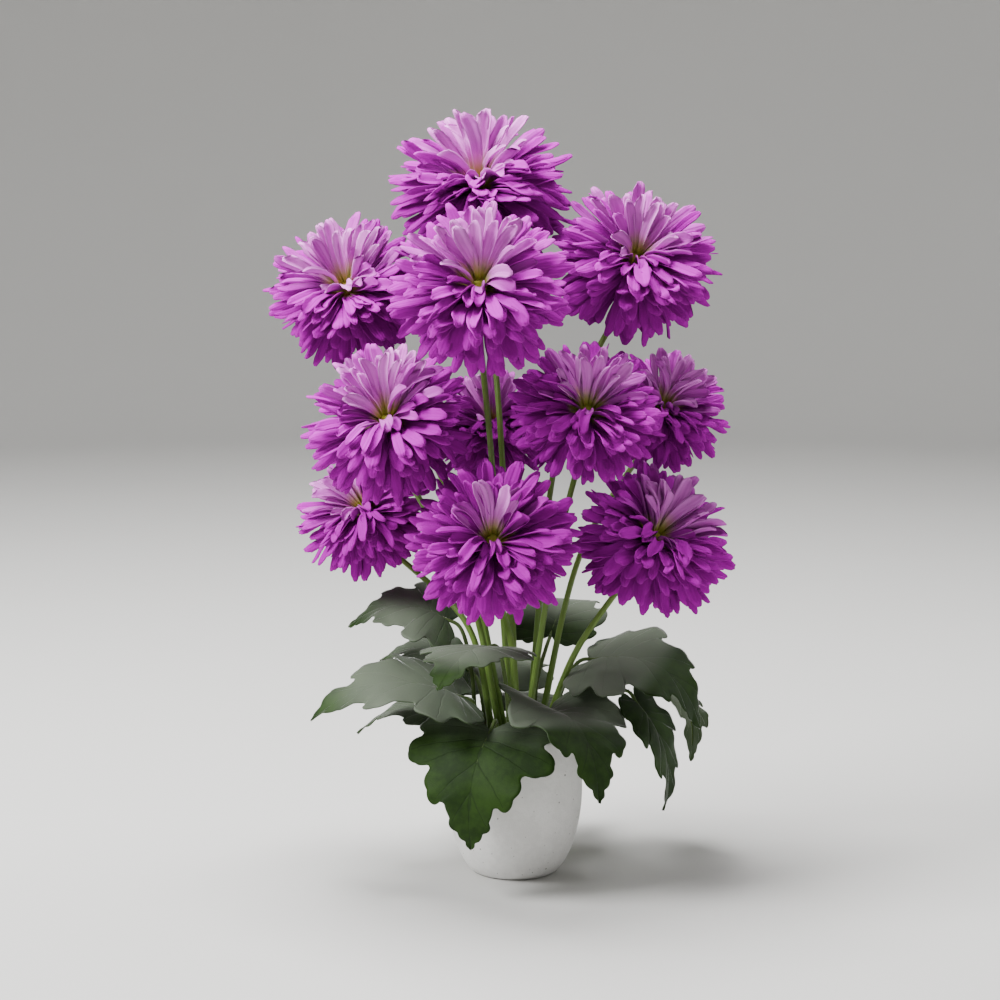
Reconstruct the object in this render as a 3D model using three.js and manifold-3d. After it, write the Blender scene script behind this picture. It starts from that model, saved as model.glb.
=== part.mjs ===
// Potted chrysanthemum: eleven globe-shaped blooms on upright stems, above a
// collar of lobed leaves, growing out of soil in a small rounded pot.
// Millimetres, +Z up. The origin is the centre of the pot's underside, and -Y
// is the side that the plant is looked at from.

import * as THREE from 'three';
import { mergeVertices } from 'three/addons/utils/BufferGeometryUtils.js';
import Module from 'manifold-3d';

const wasm = await Module();
wasm.setup();

const UP = new THREE.Vector3(0, 0, 1);

// Clear space between two pieces that touch on the real plant
const GAP = 0.3;

// Points closer together than this are one point
const WELD = 1e-4;

// The pot: a round-bellied cup of cast stoneware, turned about Z. Its outside
// is two curves that meet at the belly, each drawn by way of two handles, as
// (radius, height).
const POT = {
  height: 100,
  baseRadius: 29,
  bellyRadius: 48,
  bellyHeight: 61,
  rimRadius: 43.4,
  bellyHandles: [[36, 2], [48.3, 27.5]],
  shoulderHandles: [[48, 76], [45.2, 90]],
  bellySteps: 4,
  shoulderSteps: 3,
  wall: 3.5,
  wallStart: 12,
  floor: 6,
  lipRadius: 1.2,
  sides: 24,
};

// The soil fills the pot to just under its rim, and is a little higher in the
// middle. Stems and stalks bend from `standing` above that middle.
const SOIL = { top: 90, mound: 2.5, standing: 1 };

// How far the holes' cutters reach above a foot
const CUTTER_RISE = 6;

// Stems are slim rods that run straight for a while under the bloom and then
// swell into the flower's receptacle
const STEM = {
  radius: 2.5,
  straightLength: 30,
  receptacleShare: 0.75,
  receptacleLength: 7,
  depthInSoil: 24,
  sides: 5,
  steps: 6,
};

// Leaf stalks stand in a ring in the soil. Each climbs steeply to a knee, then
// leans out to the blade and runs a short way on under the midrib.
const STALK = {
  ring: 30,
  radius: 1.7,
  endRadius: 0.8,
  straightLength: 10,
  kneeOut: 0.2,
  kneeRise: 0.4,
  meetsMidrib: 0.02,
  leavesMidrib: 0.08,
  depthInSoil: 18,
  sides: 4,
  steps: 3,
};

// A bloom: rings of petals round a small core. Angles are in degrees from the
// bloom's own axis, which points out of its eye. Shares of size are shares of
// the bloom's reach, except that the tip's are shares of the petal's body.
const BLOOM = {
  whorls: 8,
  petalsPerWhorl: 11,
  coreShare: 0.165,
  coreFirstAngle: 20,
  coreLastAngle: 150,
  eyeHeightShare: 0.9,
  petalFirstAngle: 26,
  petalLastAngle: 147,
  petalRootShare: 0.98,
  bend: 18,
  innerShare: 0.42,
  flattening: 0.13,
  bodyShare: 0.64,
  halfWidthShare: 0.1276,
  tipShare: 0.6,
  roomShare: 0.44,
  bodyLift: 0.3,
  keel: 1.9,
  angleDraw: 2.4,
  lengthDraw: 0.09,
  swingDraw: 0.35,
  crowdedSwing: 0.5,
  firstSeed: 1000,
};

// One leaf blade, in leaf lengths. Each row is the stretch of margin between
// two side veins, as pairs of (distance along the midrib, distance from it),
// and starts where the row before it ends.
const LEAF = {
  thickness: 0.8,
  rise: 0.1,
  sag: 0.3,
  cupExtent: 0.3,
  veinRoots: [0, 0.1, 0.3, 0.55, 0.78, 1],
  margin: [
    [[0, 0], [-0.09, 0.12], [-0.08, 0.36], [0.05, 0.51]],
    [[0.05, 0.51], [0.13, 0.46], [0.25, 0.56], [0.37, 0.47], [0.34, 0.31]],
    [[0.34, 0.31], [0.53, 0.32], [0.66, 0.25], [0.63, 0.15]],
    [[0.63, 0.15], [0.8, 0.14]],
    [[0.8, 0.14], [0.88, 0.07]],
  ],
};

const SURFACES = {
  pot: { color: '#d9d8d5', roughness: 0.75 },
  soil: { color: '#3b2d24', roughness: 0.95 },
  stem: { color: '#6f8f3a', roughness: 0.6 },
  bloom: { color: '#b53bb0', roughness: 0.7 },
  leaf: { color: '#3f5a34', roughness: 0.6 },
};

// Each bloom: the middle of its globe, how far its petals reach, and how far
// its axis leans from upright, towards the viewer and towards +X, in degrees.
// Then where its stem leaves the soil, and a point that the stem passes.
const FLOWERS = [
  { centre: [-24, 40, 479], reach: 65, lean: [22, -4], root: [0, 4], via: [-10, 8, 310] },
  { centre: [-117, 25, 409], reach: 57, lean: [36, -16], root: [-6, 10], via: [-42, 18, 255] },
  { centre: [-24, -75, 416], reach: 61, lean: [40, 0], root: [-2, -7], via: [-17, -14, 305] },
  { centre: [82, 12, 429], reach: 60, lean: [36, 14], root: [9, 8], via: [34, 14, 315] },
  { centre: [-86, -45, 324], reach: 57, lean: [38, -12], root: [-9, -3], via: [-33, -12, 205] },
  { centre: [48, -48, 331], reach: 52, lean: [38, 6], root: [7, -4], via: [27, -14, 225] },
  { centre: [105, 45, 323], reach: 48, lean: [30, 22], root: [16, 7], via: [48, 28, 225] },
  { centre: [-106, 40, 250], reach: 50, lean: [30, -30], root: [-15, 4], via: [-33, 11, 173] },
  { centre: [-15, -88, 249], reach: 57, lean: [42, 0], root: [2, -14], via: [-2, -26, 165] },
  { centre: [95, -22, 240], reach: 57, lean: [30, 30], root: [18, -5], via: [43, -10, 160] },
  { centre: [-16, 68, 308], reach: 48, lean: [20, 0], root: [1, 18], via: [-4, 34, 215] },
];

// Each leaf: where its blade starts and ends, how far the midrib arches off
// the straight line between them, the blade's breadth against the outline
// above, a roll in degrees that lowers the side on the right hand of someone
// looking from base to tip, how far the lobes at the base stand up, and where
// its stalk leaves the soil, as an angle round the pot.
const LEAVES = [
  { base: [-48, 14, 178], tip: [-119, 24, 170], arch: 13, breadth: 1, roll: -18, cup: 0, at: 160 },
  { base: [-38, -20, 130], tip: [-141, -42, 117], arch: 18, breadth: 0.8, roll: -14, cup: 0, at: 205 },
  { base: [-36, 38, 138], tip: [-98, 50, 140], arch: 12, breadth: 0.85, roll: -14, cup: 0, at: 135 },
  { base: [-18, -42, 170], tip: [-52, -92, 150], arch: 9, breadth: 1.25, roll: 4, cup: 0, at: 262 },
  { base: [-17, -47, 112], tip: [-30, -77, 36], arch: 17, breadth: 1.08, roll: 0, cup: 0.15, at: 246 },
  { base: [24, -36, 124], tip: [56, -90, 72], arch: 22, breadth: 1, roll: -12, cup: 0.4, at: 315 },
  { base: [86, 3, 121], tip: [106, -6, 43], arch: 12, breadth: 0.7, roll: 0, cup: 0, at: 342 },
  { base: [56, 11, 150], tip: [131, -8, 103], arch: 22, breadth: 1, roll: 16, cup: 0, at: 14 },
  { base: [98, 50, 126], tip: [130, 68, 60], arch: 18, breadth: 0.75, roll: 0, cup: 0, at: 34 },
  { base: [26, 46, 160], tip: [54, 120, 164], arch: 16, breadth: 0.76, roll: 0, cup: 0, at: 62 },
  { base: [-48, 4, 108], tip: [-112, 14, 94], arch: 13, breadth: 0.9, roll: 0, cup: 0, at: 182 },
  { base: [-14, 46, 124], tip: [-48, 126, 110], arch: 16, breadth: 1, roll: 0, cup: 0, at: 112 },
  { base: [14, 47, 106], tip: [50, 128, 76], arch: 14, breadth: 0.88, roll: 0, cup: 0, at: 86 },
];

const vector = (values) => new THREE.Vector3(...values);
const flatVector = (values) => new THREE.Vector2(...values);
const radians = THREE.MathUtils.degToRad;

// A repeatable stream of numbers from -1 to 1, by a linear congruential rule
function draws(seed) {
  const multiplier = 1664525;
  const increment = 1013904223;
  let state = seed;
  return () => {
    state = (Math.imul(state, multiplier) + increment) >>> 0;
    return (state / 2 ** 31) - 1;
  };
}

// A surface from its corner points and its triangles
function surface(points, triangles) {
  const geometry = new THREE.BufferGeometry();
  geometry.setFromPoints(points);
  geometry.setIndex(triangles.flat());
  return geometry;
}

// A closed surface as a solid that can be joined and cut
function solid(geometry) {
  const bare = geometry.clone();
  bare.deleteAttribute('normal');
  bare.deleteAttribute('uv');
  const merged = mergeVertices(bare, WELD);
  const index = merged.index.array;
  const kept = [];
  for (let i = 0; i < index.length; i += 3) {
    const [a, b, c] = index.slice(i, i + 3);
    if (a !== b && b !== c && c !== a) kept.push(a, b, c);
  }
  return new wasm.Manifold(new wasm.Mesh({
    numProp: 3,
    vertProperties: new Float32Array(merged.attributes.position.array),
    triVerts: new Uint32Array(kept),
  }));
}

// The surface of a solid
function geometryOf(manifold) {
  const mesh = manifold.getMesh();
  const geometry = new THREE.BufferGeometry();
  geometry.setAttribute('position', new THREE.BufferAttribute(mesh.vertProperties, 3));
  geometry.setIndex(new THREE.BufferAttribute(mesh.triVerts, 1));
  return geometry;
}

// A rod along points, with its own radius at each. The ring of each point is
// square to the path there, and starts from the direction `side`.
function rod(path, radii, side, sides) {
  const points = [];
  const triangles = [];
  path.forEach((point, i) => {
    const before = path[Math.max(i - 1, 0)];
    const after = path[Math.min(i + 1, path.length - 1)];
    const along = after.clone().sub(before).normalize();
    const across = side.clone().addScaledVector(along, -side.dot(along)).normalize();
    const third = along.clone().cross(across);
    for (let k = 0; k < sides; k += 1) {
      const turn = (2 * Math.PI * k) / sides;
      points.push(point.clone()
        .addScaledVector(across, radii[i] * Math.cos(turn))
        .addScaledVector(third, radii[i] * Math.sin(turn)));
    }
  });
  const last = (path.length - 1) * sides;
  for (let k = 0; k < sides; k += 1) {
    const next = (k + 1) % sides;
    for (let ring = 0; ring < last; ring += sides) {
      triangles.push([ring + k, ring + next, ring + sides + next]);
      triangles.push([ring + k, ring + sides + next, ring + sides + k]);
    }
    if (k > 0 && next > 0) {
      triangles.push([0, next, k]);
      triangles.push([last, last + k, last + next]);
    }
  }
  return surface(points, triangles);
}

// The pot's outside from its foot to its rim, as (radius, height)
function potOutside() {
  const foot = new THREE.Vector2(POT.baseRadius, 0);
  const widest = new THREE.Vector2(POT.bellyRadius, POT.bellyHeight);
  const rim = new THREE.Vector2(POT.rimRadius, POT.height - POT.lipRadius);
  const belly = new THREE.CubicBezierCurve(foot, ...POT.bellyHandles.map(flatVector), widest);
  const shoulder = new THREE.CubicBezierCurve(widest, ...POT.shoulderHandles.map(flatVector), rim);
  return [...belly.getPoints(POT.bellySteps), ...shoulder.getPoints(POT.shoulderSteps).slice(1)];
}

// The inside of the pot from its floor up, as (radius, height), kept
// `clearance` away from the wall and the floor. The floor's edge is set in
// twice as far as the wall, which rounds off the corner between them.
function potInside(clearance) {
  const inset = POT.wall + clearance;
  const floor = POT.floor + clearance;
  const wall = potOutside().filter((p) => p.y > POT.wallStart);
  return [
    new THREE.Vector2(wall[0].x - 2 * inset, floor),
    ...wall.map((p) => new THREE.Vector2(p.x - inset, p.y)),
  ];
}

function potGeometry() {
  const profile = [
    new THREE.Vector2(0, 0),
    ...potOutside(),
    new THREE.Vector2(POT.rimRadius - POT.lipRadius, POT.height),
    new THREE.Vector2(POT.rimRadius - POT.wall + POT.lipRadius, POT.height),
    ...potInside(0).reverse(),
    new THREE.Vector2(0, POT.floor),
  ];
  return new THREE.LatheGeometry(profile, POT.sides).rotateX(Math.PI / 2);
}

// The soil before its holes: the pot's inside up to the soil's top
function soilBody() {
  const wall = potInside(GAP);
  const above = wall.findIndex((p) => p.y > SOIL.top);
  const [low, high] = [wall[above - 1], wall[above]];
  const edge = low.clone().lerp(high, (SOIL.top - low.y) / (high.y - low.y));
  const profile = [
    new THREE.Vector2(0, POT.floor + GAP),
    ...wall.slice(0, above),
    edge,
    new THREE.Vector2(0, SOIL.top + SOIL.mound),
  ];
  return new THREE.LatheGeometry(profile, POT.sides).rotateX(Math.PI / 2);
}

// The foot of a stem or stalk: a straight stretch through the soil's top
function footOf(root, towards, depth) {
  const top = new THREE.Vector3(root[0], root[1], SOIL.top + SOIL.mound + SOIL.standing);
  const along = towards.clone().sub(top).normalize();
  const side = new THREE.Vector3(0, 1, 0).cross(along).normalize();
  const bottom = top.clone().addScaledVector(along, -depth);
  return { along, side, top, bottom };
}

// The plain hole that a foot stands in
function hole(foot, radius, sides) {
  const path = [
    foot.bottom.clone().addScaledVector(foot.along, -GAP),
    foot.top.clone().addScaledVector(foot.along, CUTTER_RISE),
  ];
  const wide = radius + GAP / Math.cos(Math.PI / sides);
  return solid(rod(path, [wide, wide], foot.side, sides));
}

// The direction out of a bloom's eye
function bloomAxis(flower) {
  const [front, right] = flower.lean.map((angle) => Math.tan(radians(angle)));
  return new THREE.Vector3(right, -front, 1).normalize();
}

// How far the flat underside of a bloom's core lies below its middle
function coreDepth(flower) {
  return -BLOOM.coreShare * flower.reach * Math.cos(radians(BLOOM.coreLastAngle));
}

// The radius of that flat underside
function coreEndRadius(flower) {
  return BLOOM.coreShare * flower.reach * Math.sin(radians(BLOOM.coreLastAngle));
}

function stemParts(flower) {
  const axis = bloomAxis(flower);
  const end = vector(flower.centre).addScaledVector(axis, -coreDepth(flower) - GAP);
  const via = vector(flower.via);
  const foot = footOf(flower.root, via, STEM.depthInSoil);
  const curve = new THREE.CatmullRomCurve3([
    foot.top,
    via,
    end.clone().addScaledVector(axis, -STEM.straightLength),
    end.clone().addScaledVector(axis, -STEM.receptacleLength),
  ], false, 'centripetal');
  const path = [foot.bottom, ...curve.getSpacedPoints(STEM.steps), end];
  const radii = path.map(() => STEM.radius);
  radii[radii.length - 1] = STEM.receptacleShare * coreEndRadius(flower);
  return { foot, geometry: rod(path, radii, foot.side, STEM.sides) };
}

// The point at a distance from the bloom's middle, at an angle from its axis
// and turned about the axis
function polar(distance, angle, turn) {
  return new THREE.Vector3(
    distance * Math.sin(angle) * Math.cos(turn),
    distance * Math.sin(angle) * Math.sin(turn),
    distance * Math.cos(angle),
  );
}

// The five outer corners of one petal: the left, right and keel of its body,
// and the left and right of its tip
function petalCorners(flower, whorl, turn, draw) {
  const { whorls, petalsPerWhorl, petalFirstAngle, petalLastAngle } = BLOOM;
  const step = (2 * Math.PI) / petalsPerWhorl;
  const core = BLOOM.coreShare * flower.reach;
  const ruled = THREE.MathUtils.lerp(petalFirstAngle, petalLastAngle, whorl / (whorls - 1));
  const angle = radians(ruled + BLOOM.angleDraw * draw());
  const bend = radians(BLOOM.bend) / 2;
  const globe = flower.reach * (1 - BLOOM.flattening * Math.cos(angle) ** 2);
  const inner = whorl === 0 ? BLOOM.innerShare : 1;
  const length = inner * (globe * (1 - BLOOM.lengthDraw * Math.abs(draw())) - core);

  const start = polar(core * BLOOM.petalRootShare, angle, 0);
  const body = start.clone().add(polar(length * BLOOM.bodyShare, angle - bend, 0));
  const tip = body.clone().add(polar(length * (1 - BLOOM.bodyShare), angle + bend, 0));
  const room = (where) => BLOOM.roomShare * where.x * step;
  const wanted = BLOOM.halfWidthShare * flower.reach;
  const bodyHalf = Math.min(wanted, room(body));
  const tipHalf = Math.min(bodyHalf * BLOOM.tipShare, room(tip));
  const freedom = (step / 2 - bodyHalf / body.x) * (wanted < room(body) ? 1 : BLOOM.crowdedSwing);
  const swing = turn + BLOOM.swingDraw * freedom * draw();

  const place = (where, half, lift) => new THREE.Vector3(
    where.x - lift * Math.cos(angle),
    half,
    where.z + lift * Math.sin(angle),
  ).applyAxisAngle(UP, swing);
  return [
    place(body, -bodyHalf, BLOOM.bodyLift),
    place(body, bodyHalf, BLOOM.bodyLift),
    place(body, 0, BLOOM.bodyLift - BLOOM.keel),
    place(tip, -tipHalf, 0),
    place(tip, tipHalf, 0),
  ];
}

// A bloom about its own axis. The core is a ball of rings, each turned half a
// step from the one above, so that the bands between them are triangles. Each
// triangle that points down grows into a petal, flat above and keeled below:
// its body widens and bends outwards, and its tip is blunt.
function bloomGeometry(flower, seed) {
  const { whorls, petalsPerWhorl: count, coreFirstAngle, coreLastAngle } = BLOOM;
  const draw = draws(seed);
  const core = BLOOM.coreShare * flower.reach;
  const step = (2 * Math.PI) / count;
  const points = [];
  const triangles = [];

  for (let ring = 0; ring <= whorls; ring += 1) {
    const angle = radians(THREE.MathUtils.lerp(coreFirstAngle, coreLastAngle, ring / whorls));
    for (let k = 0; k < count; k += 1) points.push(polar(core, angle, (k + ring / 2) * step));
  }

  for (let whorl = 0; whorl < whorls; whorl += 1) {
    const upper = whorl * count;
    const lower = upper + count;
    for (let k = 0; k < count; k += 1) {
      const left = upper + k;
      const right = upper + ((k + 1) % count);
      const below = lower + k;
      const turn = (k + 0.5 + whorl / 2) * step;
      const first = points.length;
      points.push(...petalCorners(flower, whorl, turn, draw));
      const [bodyLeft, bodyRight, keel, tipLeft, tipRight] = [0, 1, 2, 3, 4].map((n) => first + n);
      triangles.push(
        [left, bodyLeft, bodyRight],
        [left, bodyRight, right],
        [left, below, keel],
        [left, keel, bodyLeft],
        [right, bodyRight, keel],
        [right, keel, below],
        [bodyLeft, tipLeft, tipRight],
        [bodyLeft, tipRight, bodyRight],
        [bodyLeft, keel, tipLeft],
        [bodyRight, tipRight, keel],
        [keel, tipRight, tipLeft],
      );
      triangles.push([right, below, lower + ((k + 1) % count)]);
    }
  }

  const eye = points.push(polar(core * BLOOM.eyeHeightShare, 0, 0)) - 1;
  const underside = points.push(new THREE.Vector3(0, 0, -coreDepth(flower))) - 1;
  const lastRing = whorls * count;
  for (let k = 0; k < count; k += 1) {
    const next = (k + 1) % count;
    triangles.push([eye, k, next]);
    triangles.push([underside, lastRing + next, lastRing + k]);
  }
  return surface(points, triangles);
}

// Where the point (u, v) of a leaf lies: u runs along the arched midrib, v to
// its side, both in leaf lengths
function leafPlacing(leaf) {
  const base = vector(leaf.base);
  const tip = vector(leaf.tip);
  const chord = tip.clone().sub(base);
  const flat = new THREE.Vector3(chord.y, -chord.x, 0).normalize();
  const above = flat.clone().cross(chord).normalize();
  const crest = base.clone().lerp(tip, 0.5).addScaledVector(above, 2 * leaf.arch);
  const midrib = new THREE.QuadraticBezierCurve3(base, crest, tip);
  const length = midrib.getLength();
  const side = flat.applyAxisAngle(chord.clone().normalize(), radians(leaf.roll));
  const setOut = crest.clone().sub(base).normalize();
  const place = (u, v) => {
    const inside = THREE.MathUtils.clamp(u, 0, 1);
    const along = midrib.getTangentAt(inside);
    const normal = side.clone().cross(along).normalize();
    const width = v * leaf.breadth;
    const cup = leaf.cup * Math.max(0, 1 - u / LEAF.cupExtent);
    const lift = length * ((LEAF.rise + cup) * Math.abs(width) - LEAF.sag * width * width);
    const top = midrib.getPointAt(inside)
      .addScaledVector(along, (u - inside) * length)
      .addScaledVector(side, width * length)
      .addScaledVector(normal, lift);
    return { top, bottom: top.clone().addScaledVector(normal, -LEAF.thickness) };
  };
  return { base, setOut, place };
}

// The blade: both halves of the outline, split into triangles that fan out
// from the root of each side vein, and the same triangles on the underside
function bladeGeometry(placing) {
  const tops = [];
  const bottoms = [];
  const add = (u, v) => {
    const { top, bottom } = placing.place(u, v);
    bottoms.push(bottom);
    return tops.push(top) - 1;
  };
  const ribs = LEAF.veinRoots.map((u) => add(u, 0));
  const faces = [];
  [1, -1].forEach((half) => {
    let previous = ribs[0];
    LEAF.margin.forEach((row, cell) => {
      const edge = [previous, ...row.slice(1).map(([u, v]) => add(u, half * v)), ribs[cell + 1]];
      for (let i = 0; i + 1 < edge.length; i += 1) {
        const corners = [ribs[cell], edge[i], edge[i + 1]];
        if (corners[0] === corners[1]) continue;
        faces.push(half > 0 ? corners : corners.reverse());
      }
      previous = edge[edge.length - 2];
    });
  });

  const under = tops.length;
  const open = new Map();
  faces.forEach(([a, b, c]) => [[a, b], [b, c], [c, a]].forEach(([from, to]) => {
    if (!open.delete(`${to} ${from}`)) open.set(`${from} ${to}`, [from, to]);
  }));
  const walls = [...open.values()].flatMap(([a, b]) => [[b, a, a + under], [b, a + under, b + under]]);
  const undersides = faces.map(([a, b, c]) => [c + under, b + under, a + under]);
  return surface([...tops, ...bottoms], [...faces, ...undersides, ...walls]);
}

// A leaf: its blade joined with its stalk
function leafParts(leaf) {
  const placing = leafPlacing(leaf);
  const turn = radians(leaf.at);
  const root = [STALK.ring * Math.cos(turn), STALK.ring * Math.sin(turn)];
  const before = placing.base.clone().addScaledVector(placing.setOut, -STALK.straightLength);
  const knee = new THREE.Vector3(root[0], root[1], SOIL.top).lerp(before, STALK.kneeOut);
  knee.z += STALK.kneeRise * (before.z - SOIL.top);
  const foot = footOf(root, knee, STALK.depthInSoil);
  const meeting = placing.place(STALK.meetsMidrib, 0).bottom;
  const end = placing.place(STALK.leavesMidrib, 0).bottom;
  const curve = new THREE.CatmullRomCurve3([foot.top, knee, before, meeting], false, 'centripetal');
  const path = [foot.bottom, ...curve.getSpacedPoints(STALK.steps), end];
  const radii = path.map(() => STALK.radius);
  radii[radii.length - 1] = STALK.endRadius;
  const stalk = rod(path, radii, foot.side, STALK.sides);
  const joined = solid(bladeGeometry(placing)).add(solid(stalk));
  return { foot, geometry: geometryOf(joined) };
}

function soilGeometry(stems, leaves) {
  const holes = [
    ...stems.map(({ foot }) => hole(foot, STEM.radius, STEM.sides)),
    ...leaves.map(({ foot }) => hole(foot, STALK.radius, STALK.sides)),
  ];
  return geometryOf(holes.reduce((soil, cutter) => soil.subtract(cutter), solid(soilBody())));
}

function meshOf(name, geometry, look) {
  const mesh = new THREE.Mesh(geometry, new THREE.MeshStandardMaterial({ ...look, metalness: 0 }));
  mesh.name = name;
  return mesh;
}

const numbered = (name, i) => `${name}_${String(i + 1).padStart(2, '0')}`;
const stems = FLOWERS.map(stemParts);
const leaves = LEAVES.map(leafParts);

const plant = new THREE.Group();
plant.name = 'potted_chrysanthemum';
plant.add(meshOf('pot', potGeometry(), SURFACES.pot));
plant.add(meshOf('soil', soilGeometry(stems, leaves), SURFACES.soil));
stems.forEach(({ geometry }, i) => plant.add(meshOf(numbered('stem', i), geometry, SURFACES.stem)));
leaves.forEach(({ geometry }, i) => plant.add(meshOf(numbered('leaf', i), geometry, SURFACES.leaf)));
FLOWERS.forEach((flower, i) => {
  const geometry = bloomGeometry(flower, BLOOM.firstSeed + i);
  const bloom = meshOf(numbered('bloom', i), geometry, SURFACES.bloom);
  bloom.position.set(...flower.centre);
  bloom.quaternion.setFromUnitVectors(UP, bloomAxis(flower));
  plant.add(bloom);
});

export default plant;
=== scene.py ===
"""Looks of a potted chrysanthemum: fine blooms, leaves, stems, soil and pot over its fixed model.

Metres, +Z up, the viewer's side is -Y. The file is laid out as an add-on and is run as a script.
"""

import math

import bpy
import numpy as np
from bpy.props import FloatProperty, FloatVectorProperty, IntProperty, PointerProperty
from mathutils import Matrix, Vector


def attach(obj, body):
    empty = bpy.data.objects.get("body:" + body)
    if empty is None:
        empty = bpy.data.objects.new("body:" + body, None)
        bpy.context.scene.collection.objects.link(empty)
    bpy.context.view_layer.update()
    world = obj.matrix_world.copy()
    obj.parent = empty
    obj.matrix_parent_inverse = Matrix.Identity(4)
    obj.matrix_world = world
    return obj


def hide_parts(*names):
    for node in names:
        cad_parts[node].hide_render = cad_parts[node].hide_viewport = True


bl_info = {
    "name": "Potted Chrysanthemum",
    "version": (1, 0, 0),
    "blender": (4, 5, 0),
    "location": "3D View > Sidebar > Chrysanthemum",
    "description": "Builds the fine surfaces of a chrysanthemum in its pot",
    "category": "Add Mesh",
}

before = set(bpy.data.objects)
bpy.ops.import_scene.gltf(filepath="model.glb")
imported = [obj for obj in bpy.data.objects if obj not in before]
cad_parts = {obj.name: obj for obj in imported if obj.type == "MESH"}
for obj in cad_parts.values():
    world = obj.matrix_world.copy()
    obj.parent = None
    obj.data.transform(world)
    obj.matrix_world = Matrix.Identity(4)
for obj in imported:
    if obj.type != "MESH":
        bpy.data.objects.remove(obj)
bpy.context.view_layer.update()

BODY = "root"
UV_NAME = "flat"
SEED = 4107
LEAF_SEED = SEED + 100
GOLDEN_TURN = math.pi * (3 - math.sqrt(5))
SHEEN_ROUGHNESS = 0.20

# Points that a smooth curve has between two of those that it is drawn through
SPAN_POINTS = 40

# Pieces that touch are this far apart, as in the fixed model
GAP = 0.0003

# The pot, as in the fixed model: two curves that meet at the belly, each with two handles
POT_HEIGHT = 0.100
POT_FOOT = (0.029, 0.0)
POT_BELLY = (0.048, 0.061)
POT_RIM = 0.0434
POT_BELLY_HANDLES = ((0.036, 0.002), (0.0483, 0.0275))
POT_SHOULDER_HANDLES = ((0.048, 0.076), (0.0452, 0.090))
POT_WALL = 0.0035
POT_FLOOR = 0.006
POT_FOOT_EDGE = 0.001
POT_LIP_RISE = 0.0012
POT_SIDES = 128
POT_BELLY_STEPS = 36
POT_SHOULDER_STEPS = 24
POT_LIP_STEPS = 12

# Pits in the clay: the share of places that hold one, and their radii in pit spacings
PIT_SHARE = 0.45
PIT_SMALLEST = 0.035
PIT_SPREAD = 0.075

# The soil under the stems
SOIL_TOP = 0.090
SOIL_MOUND = 0.0025
SOIL_STANDING = 0.001
SOIL_SUNK = 0.0008
SOIL_EDGE = 0.0416
SOIL_BASE_EDGE = 0.033
SOIL_RINGS = 84
SOIL_SIDES = 200

# Crumbs: the smallest and the palest height as shares of the largest radius, the part of its own
# radius that each is sunk by, and the strip along the wall where they get lower
CRUMB_SMALLEST = 0.3
CRUMB_PALE = 0.4
CRUMB_SUNK = 0.45
CRUMB_FADE = 0.002

# Stems and their receptacles
STEM_RADIUS = 0.0025
STEM_TOP_RADIUS = 0.0020
STEM_SLIM_HEIGHT = 0.12
STEM_STRAIGHT = 0.030
STEM_DEPTH = 0.024
STEM_STEPS = 60
STEM_SIDES = 20
STEM_RIBS = 5
RECEPTACLE_LENGTH = 0.007
RECEPTACLE_STEPS = 6
RECEPTACLE_SHARE = 0.75
SWELL_LENGTH = 1.3 * RECEPTACLE_LENGTH
CORE_SHARE = 0.165
CORE_LAST = math.radians(150)

# Bracts under a bloom: every other one is in the outer ring, which is longer and tilts further out.
# A bract's outline is the given stretch of half a sine wave.
BRACTS = 22
BRACT_ROWS = 5
BRACT_LENGTHS = (0.010, 0.014)
BRACT_HALF_WIDTH = 0.0019
BRACT_OUTLINE = (0.18, 0.96)
BRACT_TILTS = (math.radians(25), math.radians(75))
BRACT_OUTER_TILT = 0.2
BRACT_FOOT_SHARE = 0.8
BRACT_DROP = 0.004
BRACT_RISE_SHARE = 0.75
BRACT_HOLLOW = 0.0006
BRACT_THICKNESS = 0.0004

# Each bloom: middle, reach, lean towards the viewer and +X in degrees, root in the soil, point passed
FLOWERS = (
    ((-0.024, 0.040, 0.479), 0.065, (22, -4), (0.000, 0.004), (-0.010, 0.008, 0.310)),
    ((-0.117, 0.025, 0.409), 0.057, (36, -16), (-0.006, 0.010), (-0.042, 0.018, 0.255)),
    ((-0.024, -0.075, 0.416), 0.061, (40, 0), (-0.002, -0.007), (-0.017, -0.014, 0.305)),
    ((0.082, 0.012, 0.429), 0.060, (36, 14), (0.009, 0.008), (0.034, 0.014, 0.315)),
    ((-0.086, -0.045, 0.324), 0.057, (38, -12), (-0.009, -0.003), (-0.033, -0.012, 0.205)),
    ((0.048, -0.048, 0.331), 0.052, (38, 6), (0.007, -0.004), (0.027, -0.014, 0.225)),
    ((0.105, 0.045, 0.323), 0.048, (30, 22), (0.016, 0.007), (0.048, 0.028, 0.225)),
    ((-0.106, 0.040, 0.250), 0.050, (30, -30), (-0.015, 0.004), (-0.033, 0.011, 0.173)),
    ((-0.015, -0.088, 0.249), 0.057, (42, 0), (0.002, -0.014), (-0.002, -0.026, 0.165)),
    ((0.095, -0.022, 0.240), 0.057, (30, 30), (0.018, -0.005), (0.043, -0.010, 0.160)),
    ((-0.016, 0.068, 0.308), 0.048, (20, 0), (0.001, 0.018), (-0.004, 0.034, 0.215)),
)

# Painted light and shade on each bloom, added to its petals' ages: more gives the deeper colour of a
# bloom in the shade of others, less the paler colour of one that faces the lights
PAINTED_BLOOM_LIGHT_AND_SHADE = (0.0, -0.04, 0.0, -0.02, 0.0, 0.02, -0.02, -0.05, 0.18, 0.03, 0.0)

# Petals: polar angles from the bloom's axis, and where the eye opens towards the viewer's side
PETAL_FIRST = math.radians(15)
PETAL_LAST = math.radians(150)
EYE_OPENING = math.radians(36)
EYE_OPENING_END = math.radians(95)
CURLED_START = math.radians(18.2)
CURLED_END = math.radians(52)
CURLED_BEND = 0.9
CURLED_SHORTENING = 0.50

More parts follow.
